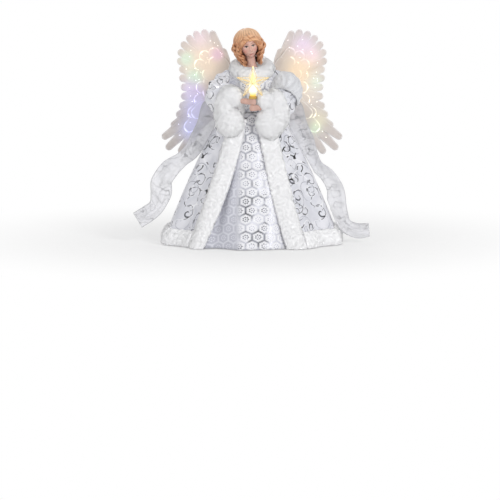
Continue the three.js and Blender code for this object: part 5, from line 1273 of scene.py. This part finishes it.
# %% [markdown]
# ## Ringlets and fringe
# The curls hang as ringlets, each a rope of two locks twisted round one line. They go round the back of the
# head from ear to ear, and one more falls in front on each side. Wavy locks sweep from the parting to both
# sides of the forehead. Every point keeps how deep it lies, and the finish darkens it there as painted shade.

# %% Ringlets and fringe
LOCK_POINTS, LOCK_SIDES = 60, 10


def ringlet(line, rope, lock_radius, locks, turns, start):
    """Locks twisted round a line: shapes, and how deep each point lies. The rope gets thinner at its end."""
    path = through(line, LOCK_POINTS)
    tangent = unit(np.gradient(path, axis=0))
    side = unit(np.cross(tangent, [[0.2, 1.0, 0.1]]))
    other = np.cross(tangent, side)
    share = np.linspace(0, 1, LOCK_POINTS)
    size = (1 - 0.4 * share**2) * np.minimum(1, 0.5 + 2 * share)
    made = []
    for number in range(locks):
        turn = start + 2 * math.pi * (number / locks + turns * share)
        swing = side * np.cos(turn)[:, None] + other * np.sin(turn)[:, None]
        radii = lock_radius * size * np.sqrt(np.clip((1 - share) / 0.12, 0.02, 1))
        shape = tube(path + swing * (rope * size)[:, None], radii, LOCK_SIDES)
        out = np.hypot(shape[0][:, 0], shape[0][:, 1] - CAP_BACK)
        middle = np.repeat(np.hypot(path[:, 0], path[:, 1] - CAP_BACK), LOCK_SIDES)
        # Painted shade: points on the inner side of the rope, towards the head, are darker.
        made.append((shape, np.clip(0.45 - (out - middle) / (rope + lock_radius), 0, 1)))
    return made


HAIR_OUTLINE = [(7, 20.5), (0, 23.5), (-7, 24.0), (-14, 21.5), (-21, 18.0), (-28, 15.5), (-35, 13.5)]
SIDE_LOCKS = [(58, 0.9), (78, 1.0), (100, 1.0), (125, 1.0), (150, 1.0), (175, 1.0)]

locks = []
for side in (1, -1):
    for number, (degrees, reach) in enumerate(SIDE_LOCKS):
        line = []
        for height, radius in HAIR_OUTLINE:
            turn = math.radians(degrees) + 0.1 * math.sin(0.33 * height + 1.9 * number)
            out = reach * radius + 0.9 * math.sin(0.42 * height + 2.3 * number + side)
            line.append((side * out * math.sin(turn), 3.0 - 0.9 * out * math.cos(turn), height))
        locks += ringlet(line, 2.6, 2.7, 2, 2.3 * side, 1.7 * number)
    front = [(17.5 * side, -8, 2), (20 * side, -8, -7), (18.5 * side, -8.5, -15), (14.5 * side, -9.5, -23)]
    front += [(14 * side, -12, -31), (11 * side, -14, -36)]
    locks += ringlet(front, 1.9, 2.0, 2, 2.6 * side, 0.7)
for side in (1, -1):
    for number in range(6):
        sweep = np.linspace(0, 1, LOCK_POINTS)
        end = math.radians(90 - side * (8 + 17 * number))
        first = np.array((1.5 + side * (0.8 + 0.9 * number), 19.0 - 1.1 * number))
        last = OPENING_CENTRE + 0.99 * OPENING_HALF * (math.cos(end), math.sin(end))
        ahead = unit(last - first)
        waves = 2 * math.pi * 2.1 * sweep + 1.4 * number + side
        bow = side * (0.35 + 0.3 * number) * np.sin(math.pi * sweep) * 2 + 1.1 * np.sin(waves)
        straight = first[:, None] + (last - first)[:, None] * sweep
        fx, fz = straight + np.array([[-ahead[1]], [ahead[0]]]) * bow
        fy = cap_front(fx, fz) - 0.9 - 0.7 * np.cos(waves)
        radii = 2.2 * np.sqrt(np.clip(np.minimum(sweep / 0.3, (1 - sweep) / 0.12), 0.03, 1))
        shape = tube(np.stack([fx, fy, fz], 1), radii, LOCK_SIDES)
        # Painted shade: the fringe is darker where each wave sinks towards the head.
        locks.append((shape, np.repeat(0.22 - 0.22 * np.cos(waves), LOCK_SIDES)))
points, faces, flat = gather([shape for shape, _ in locks])
ringlets = object_from("ringlets", to_head(points), faces, flat)
write_points(ringlets, "depth", np.concatenate([depth for _, depth in locks]))
finish_piece(ringlets, hair_finish, "skin_resin", "figure", "head")

# %% [markdown]
# ## Hands
# Two small fists hold the star's stem, one above the other. Each is a palm, a wrist, a thumb and four
# fingers bent round in front of the stem: a flattened ball and tubes that overlap. A voxel remesh melts
# them into one skin and smoothing rounds the creases, as in a casting.

# %% Hands
WRIST = {1: (23, -57, 228.6), -1: (-22, -57, 240.3)}
WRIST_RADIUS, PALM_HALF, FINGER_RADIUS, FINGER_PITCH = 4.2, (8.5, 5.0, 5.0), 1.5, 2.3
STEM = np.array((1.5, -66.0))
# Painted shade: the hands' resin is a little darker than the face's, as the hands lie in shade.
hand_skin = grained("hand_resin", paint(212, 172, 158), 0.45, grain=1400.0, depth=0.00003)


def round_ends(count):
    """Shares of a tube's radius that round off both of its ends."""
    share = np.linspace(0, 1, count)
    return np.sqrt(np.clip(np.minimum(share, 1 - share) / 0.1, 0.02, 1))


for side, name in SIDES:
    reach = unit(np.array((-side, -0.35, 0.06 * side)))
    front = unit(np.cross((0, 0, side), reach))
    wrist = np.array(WRIST[side], float)
    centre = wrist + reach * (WRIST_RADIUS + PALM_HALF[0])
    hand, ball = ball_points(32, 20)
    set_points(hand, centre + (ball * PALM_HALF) @ np.stack([reach, front, (0, 0, 1)]))
    parts = [tube(through([wrist - reach * 13, wrist, centre], 20), WRIST_RADIUS * round_ends(20), 20)]
    knuckles = centre + reach * PALM_HALF[0] * 0.35 + front * PALM_HALF[1] * 0.5
    for number in range(4):
        level = centre[2] + FINGER_PITCH * (number - 1.5)
        tip_length = 6.0 * (0.85 if number in (0, 3) else 1)
        bend = np.array((STEM[0], STEM[1] - 4.6, level))
        tip = bend + (-side * tip_length, 0.35 * tip_length, 0)
        path = through([(knuckles[0], knuckles[1], level), bend, tip], 24)
        parts.append(tube(path, FINGER_RADIUS * round_ends(24), 14))
    thumb_root = centre - front * 3.5
    thumb_tip = thumb_root + 8 * reach - 3.5 * front
    thumb = through([thumb_root, (thumb_root + thumb_tip) / 2, thumb_tip], 20)
    parts.append(tube(thumb, 1.7 * round_ends(20), 14))
    fingers = object_from("fingers", *gather(parts)[:2])
    join(hand, fingers)
    hand.name = "hand_" + name
    change(hand, "REMESH", mode="VOXEL", voxel_size=0.4 * MM)
    change(hand, "SMOOTH", factor=0.5, iterations=2)
    bpy.ops.object.shade_smooth()
    finish_piece(hand, hand_skin, "skin_resin", "figure", name + "_hand")

# %% [markdown]
# ## The star
# The star is moulded from clear acrylic: five points, a raised middle and edges picked out in gold. A
# ten-cornered disc becomes a star when every other corner moves inwards. Extruding gives the rim, poking
# raises the middle, mirroring makes the back and a bevel makes the gold edges.

# %% Star
from contextlib import contextmanager

STAR_CENTRE = np.array((1.5, -66.0, 271.0))
STAR_OUTER, STAR_INNER, STAR_RIM, STAR_RIDGE = 28.5, 11.5, 1.2, 7.5


@contextmanager
def editing(piece):
    """Edit mode, for one piece."""
    choose(piece)
    bpy.ops.object.mode_set(mode="EDIT")
    yield
    bpy.ops.object.mode_set(mode="OBJECT")


def point_outwards(piece):
    """Turns all faces of a closed shape outwards."""
    with editing(piece):
        bpy.ops.mesh.select_all(action="SELECT")
        bpy.ops.mesh.normals_make_consistent(inside=False)


bpy.ops.object.select_all(action="DESELECT")
upright = (math.pi / 2, 0, 0)
bpy.ops.mesh.primitive_circle_add(vertices=10, radius=STAR_OUTER * MM, fill_type="NGON", rotation=upright)
star = bpy.context.object
star.name = "star_body"
bpy.ops.object.transform_apply(rotation=True)
corners = sorted(star.data.vertices, key=lambda corner: math.atan2(corner.co.x, corner.co.z))
top = max(range(10), key=lambda number: corners[number].co.z)
for number, corner in enumerate(corners):
    if (number - top) % 2:
        corner.co *= STAR_INNER / STAR_OUTER
with editing(star):
    bpy.ops.mesh.select_all(action="SELECT")
    bpy.ops.mesh.extrude_region_move(TRANSFORM_OT_translate={"value": (0, -STAR_RIM * MM, 0)})
    bpy.ops.mesh.poke(offset=0)
    bpy.ops.mesh.select_all(action="DESELECT")
middle = min(star.data.vertices, key=lambda corner: corner.co.x**2 + corner.co.z**2)
middle.co.y = -STAR_RIDGE * MM
for polygon in star.data.polygons:
    polygon.select = all(abs(star.data.vertices[corner].co.y) < 1e-6 for corner in polygon.vertices)
with editing(star):
    bpy.ops.mesh.delete(type="ONLY_FACE")
change(star, "MIRROR", use_axis=(False, True, False), use_mirror_merge=True, merge_threshold=0.00001)
point_outwards(star)
star.data.transform(Matrix.Translation(STAR_CENTRE * MM))

# Painted light: the acrylic and its gold edges glow faintly, for the bulb's light held in the star.
painted_glow = {"Emission_Color": paint(255, 232, 176), "Emission_Strength": 0.15}
acrylic, tree, shader = new_finish("clear_acrylic", Roughness=0.12, Alpha=0.2, **painted_glow)
spot = coordinates(tree)
flow = rise(tree, noise(tree, spot, 90.0, 2.0), 0.3, 0.7)
feed(tree, shader, Base_Color=blend(tree, flow, paint(255, 249, 232), paint(255, 242, 212)))
emboss(tree, shader, noise(tree, spot, 220.0, 2.0), 0.0002)

painted_glow = {"Emission_Color": paint(255, 226, 150), "Emission_Strength": 0.15}
gold, tree, shader = new_finish("gold_edge", Metallic=0.5, **painted_glow)
rub = noise(tree, coordinates(tree), 500.0, 2.0)
worn = rise(tree, rub, 0.3, 0.7)
feed(tree, shader, Base_Color=blend(tree, worn, paint(248, 226, 166), paint(232, 196, 120)))
feed(tree, shader, Roughness=rise(tree, rub, 0.8, 0.2, 0.45))
finish_piece(star, acrylic, "star_acrylic", "figure", "star")
star.data.materials.append(gold)
edges = {"limit_method": "ANGLE", "angle_limit": math.radians(12), "material": 1}
change(star, "BEVEL", width=0.55 * MM, segments=2, **edges)

# %% [markdown]
# ## The flame bulb
# The lit bulb in the star has the shape of a candle flame. It is a turned shape: half of its profile is a
# row of points, which is spun round the upright line. Then doubles are merged and the faces turned
# outwards. It glows white in the middle, pale yellow at the tip and a deeper yellow at the foot.

# %% Flame bulb
FLAME = [
    (0.01, 249), (4.4, 249), (5.4, 253), (6.4, 257), (6.7, 261),
    (6.0, 269), (4.1, 277), (1.7, 285), (0.01, 289),
]

profile = through(np.array([(radius, 0, z) for radius, z in FLAME]), 60)
bulb_mesh = bpy.data.meshes.new("flame_bulb")
bulb_mesh.from_pydata((profile * MM).tolist(), [(k, k + 1) for k in range(59)], [])
bulb = add_object("flame_bulb", bulb_mesh)
with editing(bulb):
    bpy.ops.mesh.select_all(action="SELECT")
    bpy.ops.mesh.spin(steps=40, angle=2 * math.pi, center=(0, 0, 0), axis=(0, 0, 1))
    bpy.ops.mesh.select_all(action="SELECT")
    bpy.ops.mesh.remove_doubles(threshold=0.00003)
point_outwards(bulb)
bpy.ops.object.shade_smooth()
bulb.data.transform(Matrix.Translation((STAR_CENTRE[0] * MM, STAR_CENTRE[1] * MM, 0)))

flame, tree, shader = new_finish("flame_glass", Roughness=0.25, Emission_Strength=0.95)
spot = coordinates(tree)
height = split(tree, spot)[2]
swirl = calc(tree, "ADD", height, calc(tree, "MULTIPLY", noise(tree, spot, 200.0, 1.0), 0.004))
warm = blend(tree, rise(tree, swirl, 0.266, 0.282), paint(255, 250, 230), paint(255, 236, 150))
glow = blend(tree, rise(tree, swirl, 0.260, 0.250), warm, paint(255, 206, 70))
feed(tree, shader, Base_Color=blend(tree, 0.7, glow, BLACK), Emission_Color=glow)
finish_piece(bulb, flame, "bulb", "figure", "star_bulb")

# %% [markdown]
# ## The wings
# The wings are frosted film, lit by fibres behind it. Their colour is worked out from the place: every
# patch of light has a centre, a size, a colour and a strength, and the nearer a point is, the more it
# glows. The film is half clear, veined, and a little darker along each feather's rim, with a painted
# highlight in a band just inside the rim.

# %% Wing finish
# Centre, across and up, and size in millimetres, then colour and strength.
LIGHT_PATCHES = [
    ((-80, 290), 36, (255, 236, 210), 1.2), ((-58, 305), 9, (250, 200, 245), 1.2),
    ((-107, 296), 10, (190, 250, 222), 1.0), ((-94, 268), 11, (190, 252, 222), 1.2),
    ((-86, 332), 16, (244, 214, 240), 0.6), ((-98, 247), 16, (206, 192, 252), 1.0),
    ((-92, 216), 23, (206, 208, 254), 1.2), ((-102, 178), 18, (204, 210, 255), 1.2),
    ((84, 318), 18, (232, 212, 255), 0.9), ((80, 286), 30, (255, 230, 186), 0.9),
    ((100, 302), 13, (250, 218, 242), 0.6), ((106, 258), 12, (214, 248, 230), 0.6),
    ((92, 236), 24, (252, 240, 218), 0.5), ((112, 196), 15, (250, 246, 204), 0.6),
    ((104, 182), 10, (216, 248, 214), 0.7), ((70, 262), 18, (255, 230, 190), 0.7),
]

film, tree, shader = new_finish("frosted_film", Roughness=0.38, Emission_Strength=1.0)
light = put(tree, "Attribute", {}, attribute_name="glow")
rim = stored(tree, "rim")
flat = coordinates(tree, "UV")
vein_wave = put(tree, "TexWave", {"Vector": flat, "Scale": 160.0, "Distortion": 3.0, "Detail": 1.0})
frost = noise(tree, flat, 260.0, 2.0)
pale = blend(tree, rise(tree, frost, 0.3, 0.7), paint(233, 225, 220), paint(219, 210, 205))
tone = stored(tree, "tone")
toned = blend(tree, calc(tree, "MULTIPLY", tone, 0.5), pale, paint(216, 204, 199))
# Painted highlight: a paler band just inside each feather's rim.
rim_highlight = blend(tree, rise(tree, rim, 0.35, 0.7, 0.7), toned, paint(252, 249, 248))
edged = blend(tree, rise(tree, rim, 0.82, 0.97, 0.75), rim_highlight, paint(186, 174, 176))
share = light.outputs["Alpha"]
feed(tree, shader, Base_Color=blend(tree, calc(tree, "MULTIPLY", share, 0.45), edged, light.outputs["Color"]))
lit = stored(tree, "lit")
bright = calc(tree, "ADD", calc(tree, "MULTIPLY", share, 0.2), calc(tree, "MULTIPLY", lit, 0.8))
feed(tree, shader, Emission_Color=blend(tree, bright, BLACK, light.outputs["Color"]))
feed(tree, shader, Alpha=calc(tree, "ADD", rise(tree, frost, 0.2, 0.8, 0.1), 0.72))
emboss(tree, shader, calc(tree, "ADD", vein_wave.outputs["Fac"], frost), 0.00025)

print("light patches:", len(LIGHT_PATCHES))

# %% [markdown]
# ## Feathers
# A wing is stamped as a fan of round-tipped feathers, with a row of shorter and broader ones before it and
# a third row at the root. Each feather is a small cupped sheet between its root and its tip. The arcs round
# the tips of the shorter rows catch the light of the fibres. Solidify gives the film its thickness.

# %% Feathers
FILM, FEATHER_CUP = 0.35, 0.8
WING_PIVOT, WING_TURN = np.array((24.0, 44.0, 0.0)), math.radians(16)
FEATHER_ROOT_HALF, FEATHER_HALF, FEATHER_TIP_HALF, FEATHER_WIDEST = 5.0, 8.8, 5.4, 0.68
FAN_ROOT, TAIL_ROOT = np.array((14.0, 259.0)), np.array((24.0, 240.0))
FAN_CENTRE, FAN_RADIUS = np.array((54.5, 298)), 48
fan_angles = np.radians(np.linspace(104, -22, 8))
fan = [FAN_CENTRE + FAN_RADIUS * np.array((math.cos(a), math.sin(a))) for a in fan_angles]
edge_tips = [(99, 265), (96.5, 249), (96, 233), (99, 216), (104, 201)]
tail_tips = [(113, 183), (128, 163), (121, 145), (99, 139)]
feathers = [(FAN_ROOT, np.array((24, 316)))] + [(FAN_ROOT, tip) for tip in fan]
for number, tip in enumerate(edge_tips):
    feathers.append((FAN_ROOT + (TAIL_ROOT - FAN_ROOT) * (number + 1) / 5, np.array(tip)))
feathers += [(TAIL_ROOT, np.array(tip)) for tip in tail_tips]


def to_wing(points, side):
    """From the wing's own flat frame to its open place, mirrored for the right wing."""
    x, y, z = (np.asarray(points, float) * (side, 1, 1)).T
    turn = side * WING_TURN
    away = np.stack([x * math.cos(turn) - y * math.sin(turn), x * math.sin(turn) + y * math.cos(turn), z], 1)
    return away + WING_PIVOT * (side, 1, 1)


def feather(root, tip, depth, cup, broad):
    """A cupped feather: points, faces, flat pattern, nearness to its rim, and the arc round its tip."""
    count, columns = 34, 11
    t = 1 - (1 - np.linspace(0, 1, count)[:, None]) ** 1.7
    length = np.linalg.norm(tip - root)
    ahead = (tip - root) / length
    widen = np.sin(math.pi / 2 * ramp(t, 0, FEATHER_WIDEST))
    past = ramp(t, FEATHER_WIDEST, 1 - FEATHER_WIDEST)
    left = np.clip(length * (1 - t) / (FEATHER_TIP_HALF * broad), 0.002, 1)
    width = FEATHER_ROOT_HALF + (FEATHER_HALF - FEATHER_ROOT_HALF) * widen
    width = (width + (FEATHER_TIP_HALF - FEATHER_HALF) * past) * np.sqrt(1 - (1 - left) ** 2)
    width = width * (1 + (broad - 1) * widen)
    across = np.linspace(-1, 1, columns)[None, :]
    x = root[0] + ahead[0] * t * length - ahead[1] * across * width
    z = root[1] + ahead[1] * t * length + ahead[0] * across * width
    y = depth - cup * (1 - across**2) * np.sqrt(t * (1 - t) * 4 + 0.02) + 0 * x
    row, column = net(count, columns).transpose(1, 2, 0)
    flat = np.stack([across * width, t * length + 0 * across], -1) * MM
    rim = np.maximum(np.abs(across) ** 3, (1 - left) ** 1.5 + 0 * across)
    tip_arc = ramp(rim, 0.5, 0.3) * ramp(past, 0.42, 0.25)
    points = np.stack([x, y, z], -1).reshape(-1, 3)
    faces = (row * columns + column).tolist()
    return points, faces, flat[row, column].reshape(-1, 2), rim.ravel(), tip_arc.ravel()


def glow_at(points):
    """Colour and strength of the light in the film."""
    weight = np.zeros((len(points), 1))
    colour = np.zeros((len(points), 3))
    for centre, size, tint, strength in LIGHT_PATCHES:
        near = strength * np.exp(-np.sum((points[:, [0, 2]] - centre) ** 2, 1, keepdims=True) / size**2)
        colour += near * paint(*tint)[:3]
        weight += near
    return np.hstack([colour / np.maximum(weight, 1e-6), np.clip(weight, 0, 1)]).astype(np.float32)


# The feathers of a row, their share of the full length, their depth, their light and their breadth.
rows_of_feathers = [
    (feathers, 1.0, -4.3, 0.0, 1.0),
    (feathers[::2], 0.66, -5.6, 1.0, 1.45),
    (feathers[1::2], 0.5, -6.1, 0.7, 1.45),
]
for side, name in SIDES:
    made, rims, lights, tones = [], [], [], []
    chance = np.random.default_rng(5 + side)
    for group, share, depth, light, broad in rows_of_feathers:
        for number, (root, tip) in enumerate(group):
            end = root + (tip - root) * share
            *shape, rim, tip_arc = feather(root, end, depth - FILM * (number % 2), FEATHER_CUP, broad)
            made.append(shape)
            rims.append(rim)
            tones.append(np.full(len(rim), chance.uniform(0, 1)))
            strength = max(chance.choice([0.3, 0.9]), 0.9 * (tip[1] < 262)) * (number > 0)
            lights.append(light * strength * tip_arc)
    points, faces, flat = gather(made)
    points = to_wing(points, side)
    wing = object_from("wing_" + name, points, faces, flat)
    write_points(wing, "glow", glow_at(points), "FLOAT_COLOR")
    for label, values in (("rim", rims), ("lit", lights), ("tone", tones)):
        write_points(wing, label, np.concatenate(values))
    change(wing, "SOLIDIFY", thickness=FILM * MM, offset=0)
    point_outwards(wing)
    finish_piece(wing, film, "wing_film", name + "_wing", name + "_wing_blade", name + "_wing_coverts")

# %% [markdown]
# ## Light fibres
# Behind the film a bundle of fibres spreads from a brass sleeve in front of the lamp. Each fibre runs to a
# feather, turns through the film and ends in a bright point. Three fibres of different length serve each
# feather.

# %% Fibres
FIBRE_HUB = np.array((42.6, -3.1, 254.0))
FIBRE_POINTS, FIBRE_SIDES = 22, 6
fibre_finish, tree, shader = new_finish("light_fibre", Roughness=0.2, Emission_Strength=1.6)
light = put(tree, "Attribute", {}, attribute_name="glow")
streak = noise(tree, coordinates(tree), 300.0, 2.0)
streaked = rise(tree, streak, 0.3, 0.7)
feed(tree, shader, Base_Color=blend(tree, streaked, paint(246, 246, 248), paint(228, 230, 236)))
feed(tree, shader, Emission_Color=blend(tree, light.outputs["Alpha"], BLACK, light.outputs["Color"]))

fibre_radii = np.interp(np.arange(FIBRE_POINTS), [0, 19, 20, 21], [0.3, 0.3, 0.6, 0.4])
fibre_light = np.interp(np.arange(FIBRE_POINTS), [0, 18, 20], [0.04, 0.06, 1.0])
for side, name in SIDES:
    fibres, lit = [], []
    chance = np.random.default_rng(11 + side)
    for number, (root, tip) in enumerate(feathers):
        for place in range(3):
            span = tip - root
            ahead = span * chance.uniform(0.34, 0.86) + root
            aside = chance.uniform(-4, 4) * np.array((-span[1], span[0])) / np.linalg.norm(span)
            end = ahead + aside
            start = FIBRE_HUB + (0, 0.4 * (place - 1), 1.2 * math.sin(number))
            half_way = (start + (end[0], -3.1, end[1])) / 2 + (0, 0.3, 0)
            turn_in, through_film = (end[0], -3.2, end[1]), (end[0] + 0.6, -6.6, end[1] + 0.3)
            path = through([start, half_way, turn_in, through_film], FIBRE_POINTS)
            fibres.append(tube(path, fibre_radii, FIBRE_SIDES))
            lit.append(np.repeat(fibre_light, FIBRE_SIDES))
    points, faces, flat = gather(fibres)
    points = to_wing(points, side)
    bundle = object_from("fibres_" + name, points, faces, flat)
    colour = glow_at(points)
    colour[:, :3] = 0.45 + 0.55 * colour[:, :3]
    colour[:, 3] = np.concatenate(lit)
    write_points(bundle, "glow", colour, "FLOAT_COLOR")
    point_outwards(bundle)
    finish_piece(bundle, fibre_finish, "fibre", name + "_wing", name + "_fibre_fan")
